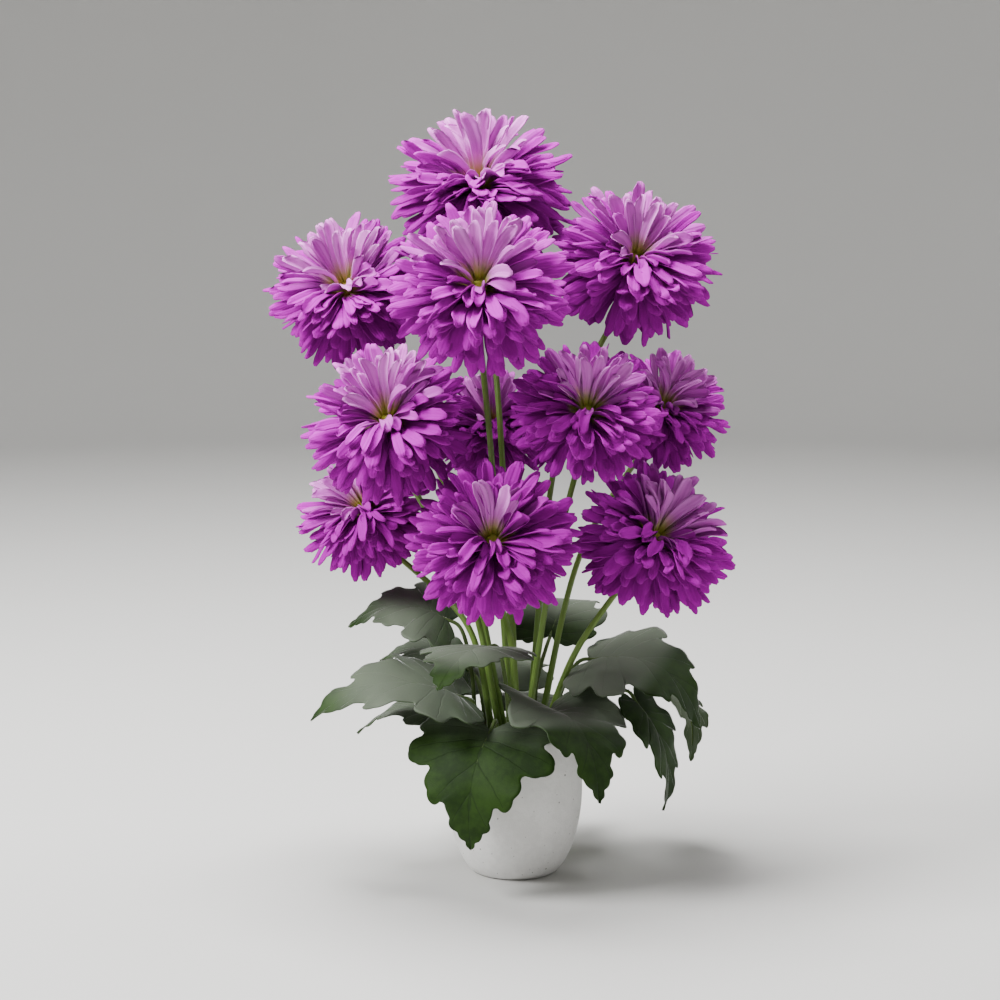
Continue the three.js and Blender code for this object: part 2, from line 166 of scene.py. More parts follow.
# Shares of a bloom's reach: the globe's flattening, the core that petals leave, the green eye, the
# furthest tip and how much nearer the nearest one is
GLOBE_FLATTENING = 0.17
PETAL_ROOT_SHARE = 0.075
EYE_SHARE = 0.125
TIP_SHARE = 1.07
TIP_SHORTFALL = 0.22
EYE_SIDES = 16

# One petal: its stations among the arc's steps, the share of its width at each, and its places across
ARC_STEPS = 30
PETAL_STATIONS = np.array([0, 6, 12, 18, 23, 27, 30])
PETAL_OUTLINE = np.array([0.26, 0.46, 0.70, 0.90, 1.0, 0.97, 0.62])
PETAL_ACROSS = np.array([-1.0, -0.5, 0.0, 0.5, 1.0])
PETAL_THICKNESS = 0.0005

# Its bend, cup and width from young to old, the range that widths are drawn from, the reach of the
# bloom that they are given for, and how far the tip's corners and notch lie back, in widths
PETAL_BENDS = (0.25, 0.62)
PETAL_CUPS = (0.85, -0.22)
PETAL_WIDTHS = (0.90, 0.92)
PETAL_WIDTH_RANGE = (0.74, 1.20)
WIDTH_REACH = 0.057
CORNER_SETBACK = 0.30
NOTCH_DEPTH = 0.12

# How far petals differ, as standard deviations: angles in radians, swerves in petal lengths
POLAR_SPREAD = 0.07
TURN_SPREAD = 0.10
BEND_SPREAD = 0.18
SWAY_SPREAD = 0.16
TWIST_SPREAD = 0.22
TIP_TWIST_SPREAD = 0.34
SWERVE_SPREAD = 0.07
RIPPLE_SPREAD = 0.018
CUP_SPREAD = 0.18

# What a petal's colour adds to its age: on the viewer's side, on the far side, where it curls over, by
# chance and from foot to tip. Then the ages between which pale turns to deep, and the colour of the
# painted highlight along the petals' edges and tips.
VIEWER_AGE = 0.22
BACK_AGE = -0.12
CURLED_AGE = 0.13
TINT_AGE = 0.28
TIP_AGE = 0.16
RIPE_RANGE = (0.04, 0.36)
PETAL_EDGE_HIGHLIGHT = (0.84, 0.35, 0.80)

# Each leaf: base, tip, arch, breadth, roll in degrees, cup, stalk's place round the pot in degrees
LEAVES = (
    ((-0.048, 0.014, 0.178), (-0.119, 0.024, 0.170), 0.013, 1.00, -18, 0.00, 160),
    ((-0.038, -0.020, 0.130), (-0.141, -0.042, 0.117), 0.018, 0.80, -14, 0.00, 205),
    ((-0.036, 0.038, 0.138), (-0.098, 0.050, 0.140), 0.012, 0.85, -14, 0.00, 135),
    ((-0.018, -0.042, 0.170), (-0.052, -0.092, 0.150), 0.009, 1.25, 4, 0.00, 262),
    ((-0.017, -0.047, 0.112), (-0.030, -0.077, 0.036), 0.017, 1.08, 0, 0.15, 246),
    ((0.024, -0.036, 0.124), (0.056, -0.090, 0.072), 0.022, 1.00, -12, 0.40, 315),
    ((0.086, 0.003, 0.121), (0.106, -0.006, 0.043), 0.012, 0.70, 0, 0.00, 342),
    ((0.056, 0.011, 0.150), (0.131, -0.008, 0.103), 0.022, 1.00, 16, 0.00, 14),
    ((0.098, 0.050, 0.126), (0.130, 0.068, 0.060), 0.018, 0.75, 0, 0.00, 34),
    ((0.026, 0.046, 0.160), (0.054, 0.120, 0.164), 0.016, 0.76, 0, 0.00, 62),
    ((-0.048, 0.004, 0.108), (-0.112, 0.014, 0.094), 0.013, 0.90, 0, 0.00, 182),
    ((-0.014, 0.046, 0.124), (-0.048, 0.126, 0.110), 0.016, 1.00, 0, 0.00, 112),
    ((0.014, 0.047, 0.106), (0.050, 0.128, 0.076), 0.014, 0.88, 0, 0.00, 86),
)

# Stalks: the ring in the soil that they stand on, their radii, and the knee that they rise over
STALK_RING = 0.030
STALK_RADIUS = 0.0017
STALK_STRAIGHT = 0.010
STALK_KNEE_OUT = 0.2
STALK_KNEE_RISE = 0.4
STALK_DEPTH = 0.018
STALK_TOP_RADIUS = 0.0013
STALK_STEPS = 36
STALK_SIDES = 10
STALK_COLOUR = (0.085, 0.130, 0.040)

# The rib that the stalk becomes under the blade: its stretch of the midrib and its end radii
RIB_STRETCH = (0.02, 0.86)
RIB_POINTS = 22
RIB_RADII = (0.0011, 0.0003)

# Half a leaf's margin from base to tip, in leaf lengths, and where on the midrib each point is carried
LEAF_MARGIN = np.array([
    (0, 0), (-0.09, 0.12), (-0.08, 0.36), (0.05, 0.51), (0.13, 0.46), (0.25, 0.56), (0.37, 0.47),
    (0.37, 0.36), (0.53, 0.35), (0.66, 0.27), (0.65, 0.18), (0.80, 0.15), (0.89, 0.08), (1, 0),
])
LEAF_FEET = np.array([0, 0.004, 0.012, 0.04, 0.07, 0.11, 0.16, 0.2, 0.31, 0.4, 0.5, 0.64, 0.78, 1])
LEAF_VEINS = (
    ((0.00, 0), (-0.075, 0.31)), ((0.01, 0), (0.05, 0.48)), ((0.10, 0), (0.25, 0.53)),
    ((0.16, 0), (0.36, 0.42)), ((0.30, 0), (0.63, 0.26)), ((0.55, 0), (0.79, 0.13)),
)

# The blade's lift beside the midrib and its sag further out, in leaf lengths, and its steps
LEAF_RISE = 0.10
LEAF_SAG = 0.30
LEAF_CUP_EXTENT = 0.3
LEAF_THICKNESS = 0.0006
LEAF_ROWS = 110
LEAF_COLUMNS = 16
MIDRIB_POINTS = 201
MIDRIB_ROUNDING = 0.01
MARGIN_STEPS = 400

# Teeth on half a margin, the shares of it where the first and last row end, the height of the wave on
# a blade of the length given, and in leaf lengths how far veins reach and how wide they are
LEAF_TEETH = 13
LEAF_ENDS = (0.004, 0.997)
LEAF_WAVE = 0.0012
LEAF_WAVE_LENGTH = 0.09
VEIN_REACH = 0.035
VEIN_WIDTH = 0.012
MIDRIB_WIDTH = 0.016

# The lights: where each stands and how wide it is, and the point they all face
KEY_LIGHT = ((-1.40, -0.50, 1.55), 0.8)
FILL_LIGHT = ((1.30, 0.45, 1.45), 0.8)
TOP_LIGHT = ((-0.3, 0.25, 2.1), 0.9)
LIGHT_AIM = (0, 0, 0.28)

# The floor's inner rings, and the quarter circle by which it rises into the backdrop
FLOOR_RINGS = (0.05, 0.5, 1.2)
FLOOR_SIDES = 96
SWEEP_STEPS = 15
BACKDROP_TOP = 3.2

# The camera stands where the photograph was taken from
CAMERA_PLACE = (-0.01035, -1.63046, 0.50304)
CAMERA_PITCH_DEG = 8.3
CAMERA_LENS_MM = 85
CAMERA_SENSOR_MM = 36


class PotLook(bpy.types.PropertyGroup):
    """The pot's finish."""

    clay: FloatVectorProperty(
        name="Clay", description="Colour of the bare matt clay",
        default=(0.86, 0.855, 0.84), subtype="COLOR", size=3, min=0, max=1)
    shade: FloatVectorProperty(
        name="Mottling", description="Colour of the darker patches",
        default=(0.74, 0.735, 0.72), subtype="COLOR", size=3, min=0, max=1)
    pit: FloatVectorProperty(
        name="Pits", description="Colour inside the small pits",
        default=(0.20, 0.19, 0.17), subtype="COLOR", size=3, min=0, max=1)
    pit_spacing: FloatProperty(
        name="Pit spacing", description="Mean distance between places where a pit may lie",
        default=0.0085, min=0.002, max=0.05, unit="LENGTH", subtype="DISTANCE")


class SoilLook(bpy.types.PropertyGroup):
    """The potting soil's crumbs and colour."""

    crumbs: IntProperty(
        name="Crumbs", description="How many crumbs lie on the soil", default=900, min=0, max=3000)
    crumb_size: FloatProperty(
        name="Crumb size", description="Largest radius of a crumb",
        default=0.0026, min=0.0005, max=0.01, unit="LENGTH", subtype="DISTANCE")
    dark: FloatVectorProperty(
        name="Moist soil", description="Colour in the gaps between crumbs",
        default=(0.020, 0.013, 0.009), subtype="COLOR", size=3, min=0, max=1)
    light: FloatVectorProperty(
        name="Dry soil", description="Colour of the crumbs' tops",
        default=(0.105, 0.072, 0.048), subtype="COLOR", size=3, min=0, max=1)


class StemLook(bpy.types.PropertyGroup):
    """The flower stems' ribs and colour."""

    rib_depth: FloatProperty(
        name="Rib depth", description="How far the lengthwise ribs stand out",
        default=0.00016, min=0, max=0.001, unit="LENGTH", subtype="DISTANCE")
    young: FloatVectorProperty(
        name="Upper stem", description="Colour near the bloom",
        default=(0.165, 0.260, 0.045), subtype="COLOR", size=3, min=0, max=1)
    old: FloatVectorProperty(
        name="Lower stem", description="Colour near the soil",
        default=(0.110, 0.205, 0.032), subtype="COLOR", size=3, min=0, max=1)


class BloomLook(bpy.types.PropertyGroup):
    """The blooms' petals and colours."""

    petals: IntProperty(
        name="Petals", description="Petals in each bloom", default=235, min=20, max=320)
    width: FloatProperty(
        name="Petal width", description="Width of a full-grown petal on a bloom of 57 mm reach",
        default=0.0096, min=0.002, max=0.02, unit="LENGTH", subtype="DISTANCE")
    eye: FloatVectorProperty(
        name="Eye", description="Colour of the petals' feet round the eye",
        default=(0.540, 0.600, 0.090), subtype="COLOR", size=3, min=0, max=1)
    pale: FloatVectorProperty(
        name="Inner petals", description="Colour of the young petals round the eye",
        default=(0.830, 0.250, 0.795), subtype="COLOR", size=3, min=0, max=1)
    deep: FloatVectorProperty(
        name="Outer petals", description="Colour of the full-grown petals",
        default=(0.490, 0.000, 0.480), subtype="COLOR", size=3, min=0, max=1)


class LeafLook(bpy.types.PropertyGroup):
    """The leaves' margin and colours."""

    tooth: FloatProperty(
        name="Tooth depth", description="How far the margin's teeth stand out",
        default=0.0018, min=0, max=0.01, unit="LENGTH", subtype="DISTANCE")
    quilting: FloatProperty(
        name="Quilting", description="How far the blade dips along its veins",
        default=0.00025, min=0, max=0.005, unit="LENGTH", subtype="DISTANCE")
    green: FloatVectorProperty(
        name="Upper side", description="Colour of the blade's upper side",
        default=(0.019, 0.048, 0.005), subtype="COLOR", size=3, min=0, max=1)
    dark: FloatVectorProperty(
        name="Patches", description="Darker colour of the older parts",
        default=(0.009, 0.025, 0.003), subtype="COLOR", size=3, min=0, max=1)
    vein: FloatVectorProperty(
        name="Veins", description="Colour of the veins on the upper side",
        default=(0.008, 0.018, 0.004), subtype="COLOR", size=3, min=0, max=1)
    # Painted sheen: grey-green that stands in for the light from above shining on the hairy upper side
    # where it faces up
    painted_top_sheen: FloatVectorProperty(
        name="Down", description="Colour that fine hairs and dust give to the blade where it faces up",
        default=(0.160, 0.190, 0.142), subtype="COLOR", size=3, min=0, max=1)
    under: FloatVectorProperty(
        name="Underside", description="Colour of the blade's underside",
        default=(0.055, 0.085, 0.036), subtype="COLOR", size=3, min=0, max=1)


class StageLook(bpy.types.PropertyGroup):
    """The floor, backdrop and lights."""

    floor: FloatVectorProperty(
        name="Floor", description="Colour of the floor and backdrop",
        default=(0.56, 0.555, 0.54), subtype="COLOR", size=3, min=0, max=1)
    radius: FloatProperty(
        name="Floor radius", description="Where the backdrop starts to rise",
        default=2.6, min=1, max=10, unit="LENGTH", subtype="DISTANCE")
    key: FloatProperty(
        name="Key light", description="Power of the large soft light, up on the left",
        default=70, min=0, unit="POWER")
    fill: FloatProperty(
        name="Fill light", description="Power of the weaker light behind, on the right",
        default=17, min=0, unit="POWER")
    top: FloatProperty(
        name="Top light", description="Power of the light above the blooms",
        default=94, min=0, unit="POWER")
    sky: FloatProperty(
        name="Room light", description="Strength of the even light from all round", default=0.03, min=0)


class PlantLooks(bpy.types.PropertyGroup):
    """Every group of looks that the panel shows."""

    pot: PointerProperty(type=PotLook)
    soil: PointerProperty(type=SoilLook)
    stem: PointerProperty(type=StemLook)
    bloom: PointerProperty(type=BloomLook)
    leaf: PointerProperty(type=LeafLook)
    stage: PointerProperty(type=StageLook)


def blend(low, high, share):
    """low at share 0, high at share 1, and a straight line between them."""
    return low + (high - low) * share


def ease(value, low, high):
    """0 up to low, 1 from high on, and the smooth cubic 3x^2 - 2x^3 between them."""
    x = np.clip((value - low) / (high - low), 0, 1)
    return x * x * (3 - 2 * x)


def unit(vectors):
    """Vectors divided by their lengths."""
    return vectors / np.linalg.norm(vectors, axis=-1, keepdims=True)


def bezier(start, first, second, end, steps):
    """A cubic Bezier curve: the ends and handles weighted by (1-t)^3, 3t(1-t)^2, 3t^2(1-t) and t^3."""
    t = np.linspace(0, 1, steps + 1)[:, None]
    start, first, second, end = (np.array(p, float) for p in (start, first, second, end))
    return (1 - t) ** 3 * start + 3 * t * (1 - t) ** 2 * first + 3 * t**2 * (1 - t) * second + t**3 * end


def through(points, steps):
    """A centripetal Catmull-Rom curve through points, in equal steps of its length.

    Between two points it is the cubic with their tangents, where a point's tangent is the weighted
    slope of its two spans and a span's weight is the square root of its length.
    """
    knots = np.array(points, float)
    knots = np.vstack([2 * knots[0] - knots[1], knots, 2 * knots[-1] - knots[-2]])
    spans = np.sqrt(np.linalg.norm(np.diff(knots, axis=0), axis=1))[:, None]
    slopes = np.diff(knots, axis=0) / spans
    wide = (knots[2:] - knots[:-2]) / (spans[1:] + spans[:-1])
    tangents = slopes[:-1] - wide + slopes[1:]
    t = np.linspace(0, 1, SPAN_POINTS, endpoint=False)[:, None, None]
    a, b = knots[1:-2], knots[2:-1]
    ta, tb = tangents[:-1] * spans[1:-1], tangents[1:] * spans[1:-1]
    curve = (a + ta * t + (3 * (b - a) - 2 * ta - tb) * t**2 + (2 * (a - b) + ta + tb) * t**3)
    dense = np.vstack([curve.transpose(1, 0, 2).reshape(-1, 3), knots[-2]])
    return evenly(dense, steps)


def evenly(path, steps):
    """Points at equal distances along a path of straight pieces."""
    walked = np.concatenate([[0], np.cumsum(np.linalg.norm(np.diff(path, axis=0), axis=1))])
    wanted = np.linspace(0, walked[-1], steps + 1)
    return np.stack([np.interp(wanted, walked, path[:, k]) for k in range(3)], axis=1)


class Surface:
    """Points with a UV pair and named values for each, and faces as arrays with one face a row."""

    def __init__(self, points, faces, uv, **values):
        self.points = np.asarray(points, float).reshape(-1, 3)
        self.faces = faces
        self.uv = np.asarray(uv, float).reshape(-1, 2)
        self.values = {k: np.broadcast_to(v, len(self.points)).ravel() for k, v in values.items()}


def joined(surfaces):
    """Several surfaces as one. A value that a surface lacks is 0 there."""
    names = sorted({k for s in surfaces for k in s.values})
    starts = np.cumsum([0] + [len(s.points) for s in surfaces])
    faces = [block + start for s, start in zip(surfaces, starts) for block in s.faces]
    values = {
        k: np.concatenate([s.values.get(k, np.zeros(len(s.points))) for s in surfaces]) for k in names
    }
    points = np.concatenate([s.points for s in surfaces])
    uv = np.concatenate([s.uv for s in surfaces])
    return Surface(points, faces, uv, **values)


def shell_faces(rows, columns, copies=1):
    """Faces of closed thin shells, each an upper grid, then a lower grid, then the rim between them.

    The upper grid's quads run row, next row, next column, the lower grid's run the other way round,
    and a quad joins each step of the upper grid's edge to the same step of the lower grid's.
    """
    index = np.arange(rows * columns).reshape(rows, columns)
    quads = np.stack([index[:-1, :-1], index[1:, :-1], index[1:, 1:], index[:-1, 1:]], -1)
    quads = quads.reshape(-1, 4)
    loop = np.concatenate([index[:-1, 0], index[-1, :-1], index[:0:-1, -1], index[0, :0:-1]])
    step = np.roll(loop, -1)
    under = rows * columns
    rim = np.stack([step, loop, loop + under, step + under], -1)
    one = np.concatenate([quads, quads[:, ::-1] + under, rim])
    return [(one[None] + 2 * under * np.arange(copies)[:, None, None]).reshape(-1, 4)]


def tube(path, radii, side, sides, ribs=0, rib_depth=0.0, **values):
    """A closed rod: a round profile carried along a path, square to it, from the direction side.

    A ring's radius is the rod's there plus rib_depth times the cosine of ribs times the turn.
    """
    along = unit(np.gradient(path, axis=0))
    across = unit(side - along * (along @ side)[:, None])
    third = np.cross(along, across)
    turn = np.linspace(0, 2 * math.pi, sides, endpoint=False)
    wide = np.asarray(radii)[:, None] + rib_depth * np.cos(ribs * turn)
    points = (path[:, None] + across[:, None] * (wide * np.cos(turn))[..., None]
              + third[:, None] * (wide * np.sin(turn))[..., None])
    ring = np.arange(sides)[None]
    faces = [ring_faces(len(path), sides), ring[:, ::-1], ring + (len(path) - 1) * sides]
    walked = np.concatenate([[0], np.cumsum(np.linalg.norm(np.diff(path, axis=0), axis=1))])
    share = np.broadcast_to(walked[:, None] / walked[-1], wide.shape)
    uv = np.stack([np.broadcast_to(turn / (2 * math.pi), wide.shape), share], -1)
    return Surface(points, faces, uv, **values)


def ring_faces(rings, sides):
    """An array of quads between rings of points, each ring closed on itself."""
    index = np.arange(rings * sides).reshape(rings, sides)
    ahead = np.roll(index, -1, axis=1)
    return np.stack([index[:-1], ahead[:-1], ahead[1:], index[1:]], -1).reshape(-1, 4)


def turned(profile, sides, shift=None):
    """A closed body: a profile of (radius, height), from the axis to the axis, turned about Z.

    The profile's first and last point are single points on the axis.
    """
    turn = np.linspace(0, 2 * math.pi, sides, endpoint=False)
    radius, height = profile[1:-1, 0][:, None], profile[1:-1, 1][:, None]
    rings = np.stack(np.broadcast_arrays(radius * np.cos(turn), radius * np.sin(turn), height), -1)
    if shift is not None:
        rings = rings + shift
    poles = np.array([(0, 0, profile[0, 1]), (0, 0, profile[-1, 1])])
    points = np.concatenate([rings.reshape(-1, 3), poles])
    ring = np.arange(sides)
    ahead = np.roll(ring, -1)
    end = (len(radius) - 1) * sides
    faces = [
        ring_faces(len(radius), sides),
        np.stack([np.full(sides, len(points) - 2), ahead, ring], 1),
        np.stack([np.full(sides, len(points) - 1), end + ring, end + ahead], 1),
    ]
    return Surface(points, faces, np.zeros((len(points), 2)))


def new_mesh(name, points, faces, material):
    """A smooth-shaded mesh of points and arrays of faces, with one material."""
    mesh = bpy.data.meshes.new(name)
    mesh.from_pydata(points.tolist(), [], [face for block in faces for face in block.tolist()])
    mesh.polygons.foreach_set("use_smooth", np.ones(len(mesh.polygons), bool))
    mesh.materials.append(material)
    return mesh


def seat(name, surface, material, slot, *nodes):
    """Puts a surface in the scene as one object at the origin, in place of the named nodes."""
    mesh = new_mesh(name, surface.points, surface.faces, material)
    corners = np.empty(len(mesh.loops), int)
    mesh.loops.foreach_get("vertex_index", corners)
    flat = mesh.uv_layers.new(name=UV_NAME)
    flat.data.foreach_set("uv", surface.uv[corners].astype(np.float32).ravel())
    for key, values in surface.values.items():
        layer = mesh.attributes.new(key, "FLOAT", "POINT")
        layer.data.foreach_set("value", values.astype(np.float32))
    mesh.update()
    piece = bpy.data.objects.new(name, mesh)
    bpy.context.scene.collection.objects.link(piece)
    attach(piece, BODY)
    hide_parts(*nodes)


class Wiring:
    """Adds nodes to a material or group. Its methods take sockets or plain values and give sockets back.

    A surface's UV map is flat(), and uv() gives its two numbers. ease() is the cubic of the function
    of that name, from to_low to to_high, and group() takes a group's inputs by their names.
    """

    def __init__(self, tree):
        self.tree = tree

    def node(self, kind, **settings):
        made = self.tree.nodes.new(kind)
        for key, value in settings.items():
            setattr(made, key, value)
        return made

    def feed(self, value, socket):
        if isinstance(value, bpy.types.NodeSocket):
            self.tree.links.new(value, socket)
        else:
            socket.default_value = value

    def math(self, operation, *values, clamp=False):
        made = self.node("ShaderNodeMath", operation=operation, use_clamp=clamp)
        for value, socket in zip(values, made.inputs):
            self.feed(value, socket)
        return made.outputs[0]

    def inverse(self, value):
        return self.math("SUBTRACT", 1.0, value)

    def vector(self, operation, *values):
        made = self.node("ShaderNodeVectorMath", operation=operation)
        sockets = [s for s in made.inputs if s.enabled]
        for value, socket in zip(values, sockets):
            self.feed(value, socket)
        return next(s for s in made.outputs if s.enabled)

    def ease(self, value, low, high, to_low=0.0, to_high=1.0):
        made = self.node("ShaderNodeMapRange", interpolation_type="SMOOTHSTEP")
        for number, socket in zip((value, low, high, to_low, to_high), made.inputs):
            self.feed(number, socket)
        return made.outputs[0]

    def mix(self, share, low, high):
        made = self.node("ShaderNodeMix", data_type="RGBA")
        colours = [c if isinstance(c, bpy.types.NodeSocket) else (*c, 1) for c in (low, high)]
        self.feed(share, made.inputs[0])
        self.feed(colours[0], made.inputs[6])
        self.feed(colours[1], made.inputs[7])
        return made.outputs[2]

    def noise(self, place, scale, detail, output="Fac"):
        made = self.node("ShaderNodeTexNoise")
        self.feed(place, made.inputs["Vector"])
        self.feed(scale, made.inputs["Scale"])
        made.inputs["Detail"].default_value = detail
        return made.outputs[output]

    def value(self, name):
        return self.node("ShaderNodeAttribute", attribute_name=name).outputs["Fac"]

    def place(self):
        return self.node("ShaderNodeTexCoord").outputs["Object"]

    def flat(self):
        return self.node("ShaderNodeUVMap", uv_map=UV_NAME).outputs[0]

    def uv(self):
        made = self.node("ShaderNodeSeparateXYZ")
        self.feed(self.flat(), made.inputs[0])
        return made.outputs[0], made.outputs[1]

    def unrolled(self, place, radius):
        """Places round the Z axis laid flat: the turn from -Y times a radius, and the height."""
        parts = self.node("ShaderNodeSeparateXYZ")
        self.feed(place, parts.inputs[0])
        turn = self.math("ARCTAN2", parts.outputs[0], self.math("MULTIPLY", parts.outputs[1], -1.0))
        flat = self.node("ShaderNodeCombineXYZ")
        self.feed(self.math("MULTIPLY", turn, radius), flat.inputs[0])
        self.feed(parts.outputs[2], flat.inputs[1])
        return flat.outputs[0]

    def group(self, tree, **values):
        made = self.node("ShaderNodeGroup", node_tree=tree)
        for key, value in values.items():
            self.feed(value, made.inputs[key.replace("_", " ")])
        return made.outputs[0]

    def bump(self, height, distance):
        made = self.node("ShaderNodeBump")
        made.inputs["Distance"].default_value = distance
        self.feed(height, made.inputs["Height"])
        return made.outputs[0]


def new_group(name, inputs, output):
    """An empty node group with named number or vector inputs and one number output."""
    tree = bpy.data.node_groups.new(name, "ShaderNodeTree")
    for label, kind in inputs:
        tree.interface.new_socket(name=label, in_out="INPUT", socket_type="NodeSocket" + kind)
    tree.interface.new_socket(name=output, in_out="OUTPUT", socket_type="NodeSocketFloat")
    start = tree.nodes.new("NodeGroupInput").outputs
    end = tree.nodes.new("NodeGroupOutput").inputs
    return tree, Wiring(tree), start, end


def mottling_group():
    """Patches: broad noise with finer noise laid over it, spread out to fill 0 to 1."""
    found = bpy.data.node_groups.get("Mottling")
    if found:
        return found
    tree, w, start, end = new_group("Mottling", [("Place", "Vector"), ("Scale", "Float")], "Share")
    broad = w.noise(start["Place"], start["Scale"], 2.0)
    fine = w.noise(start["Place"], w.math("MULTIPLY", start["Scale"], 6.5), 4.0)
    both = w.math("MULTIPLY_ADD", fine, 0.4, w.math("MULTIPLY", broad, 0.6))
    w.feed(w.ease(both, 0.36, 0.64), end["Share"])
    return tree


def lines_group():
    """Fine lengthwise lines: a triangle wave across the surface, made uneven by noise."""
    found = bpy.data.node_groups.get("Lengthwise lines")
    if found:
        return found
    sockets = [("Across", "Float"), ("Along", "Float"), ("Count", "Float"), ("Seed", "Float")]
    tree, w, start, end = new_group("Lengthwise lines", sockets, "Height")
    across = w.math("MULTIPLY", start["Across"], start["Count"])
    where = w.node("ShaderNodeCombineXYZ")
    w.feed(across, where.inputs[0])
    w.feed(start["Along"], where.inputs[1])
    w.feed(w.math("MULTIPLY", start["Seed"], 50.0), where.inputs[2])
    uneven = w.noise(where.outputs[0], 1.0, 1.0)
    wave = w.math("PINGPONG", w.math("ADD", across, uneven), 1.0)
    w.feed(w.math("MULTIPLY_ADD", wave, 0.6, w.math("MULTIPLY", uneven, 0.4)), end["Height"])
    return tree


def vein_group():
    """One vein: full on the straight line from root to tip, and gone at its width, which tapers."""
    found = bpy.data.node_groups.get("Vein")
    if found:
        return found
    sockets = [("Place", "Vector"), ("Root", "Vector"), ("Tip", "Vector"), ("Width", "Float")]
    tree, w, start, end = new_group("Vein", sockets, "Mask")
    line = w.vector("SUBTRACT", start["Tip"], start["Root"])
    offset = w.vector("SUBTRACT", start["Place"], start["Root"])
    walked = w.vector("DOT_PRODUCT", offset, line)
    share = w.math("DIVIDE", walked, w.vector("DOT_PRODUCT", line, line), clamp=True)
    nearest = w.vector("SCALE", line, share)
    away = w.vector("LENGTH", w.vector("SUBTRACT", offset, nearest))
    width = w.math("MULTIPLY", start["Width"], w.math("MULTIPLY_ADD", share, -0.65, 1.0))
    w.feed(w.inverse(w.ease(away, 0.0, width)), end["Mask"])
    return tree


def new_material(name, roughness, specular, sheen=0.0):
    """A material with one Principled shader, the wiring to feed it, and the shader's sockets."""
    material = bpy.data.materials.new(name)
    material.use_nodes = True
    shader = material.node_tree.nodes["Principled BSDF"]
    shader.inputs["Roughness"].default_value = roughness
    shader.inputs["Specular IOR Level"].default_value = specular
    shader.inputs["Sheen Weight"].default_value = sheen
    shader.inputs["Sheen Roughness"].default_value = SHEEN_ROUGHNESS
    return material, Wiring(material.node_tree), shader.inputs


def clay_material(look):
    """Matt off-white clay: faint mottling, a grainy skin and a few small dark pits."""
    material, w, shader = new_material("Matt clay", 0.82, 0.25)
    place = w.place()
    patches = w.group(mottling_group(), Place=place, Scale=38.0)
    cells = w.node("ShaderNodeTexVoronoi", voronoi_dimensions="2D")
    w.feed(w.unrolled(place, POT_BELLY[0]), cells.inputs["Vector"])
    cells.inputs["Scale"].default_value = 1 / look.pit_spacing
    chance = w.node("ShaderNodeSeparateColor")
    w.feed(cells.outputs["Color"], chance.inputs[0])
    chosen = w.math("GREATER_THAN", chance.outputs[0], 1 - PIT_SHARE)
    size = w.math("MULTIPLY_ADD", w.math("POWER", chance.outputs[1], 3.0), PIT_SPREAD, PIT_SMALLEST)
    outside = w.ease(cells.outputs["Distance"], w.math("MULTIPLY", size, 0.5), size)
    pit = w.math("MULTIPLY", w.inverse(outside), chosen)
    base = w.mix(w.math("MULTIPLY", patches, 0.6), look.clay, look.shade)
    w.feed(w.mix(w.math("MULTIPLY", pit, 0.85), base, look.pit), shader["Base Color"])
    grain = w.noise(place, 900.0, 4.0)
    height = w.math("MULTIPLY_ADD", patches, 0.3, w.math("MULTIPLY", grain, 0.35))
    height = w.math("SUBTRACT", height, pit)
    w.feed(w.bump(height, 0.0005), shader["Normal"])
    return material


def soil_material(look):
    """Crumbly soil: darker in the gaps between crumbs and paler on their tops, by the crumbs' height,
    with a grainy skin.
    """
    material, w, shader = new_material("Potting soil", 0.95, 0.1)
    place = w.place()
    patches = w.group(mottling_group(), Place=place, Scale=160.0)
    # Darker low in the gaps and paler on the crumbs' tops, by crumb height and mottling
    share = w.math("MULTIPLY", w.value("crumb"), w.math("MULTIPLY_ADD", patches, 0.7, 0.3))
    w.feed(w.mix(share, look.dark, look.light), shader["Base Color"])
    w.feed(w.bump(w.noise(place, 1500.0, 5.0), 0.0006), shader["Normal"])
    return material


def stem_material(look):
    """Green stem: yellower towards the bloom, mottled, with fine lengthwise lines."""
    material, w, shader = new_material("Flower stem", 0.5, 0.35, 0.1)
    around, along = w.uv()
    patches = w.group(mottling_group(), Place=w.place(), Scale=90.0)
    length = w.math("MULTIPLY", along, 30.0)
    lines = w.group(lines_group(), Across=around, Along=length, Count=22.0, Seed=0.3)
    youth = w.math("MULTIPLY_ADD", patches, 0.35, w.math("MULTIPLY", along, 0.65))
    base = w.mix(youth, look.old, look.young)
    darker = w.mix(w.math("MULTIPLY", lines, 0.25), base, tuple(0.45 * c for c in look.old))
    w.feed(darker, shader["Base Color"])
    w.feed(w.bump(lines, 0.0002), shader["Normal"])
    return material


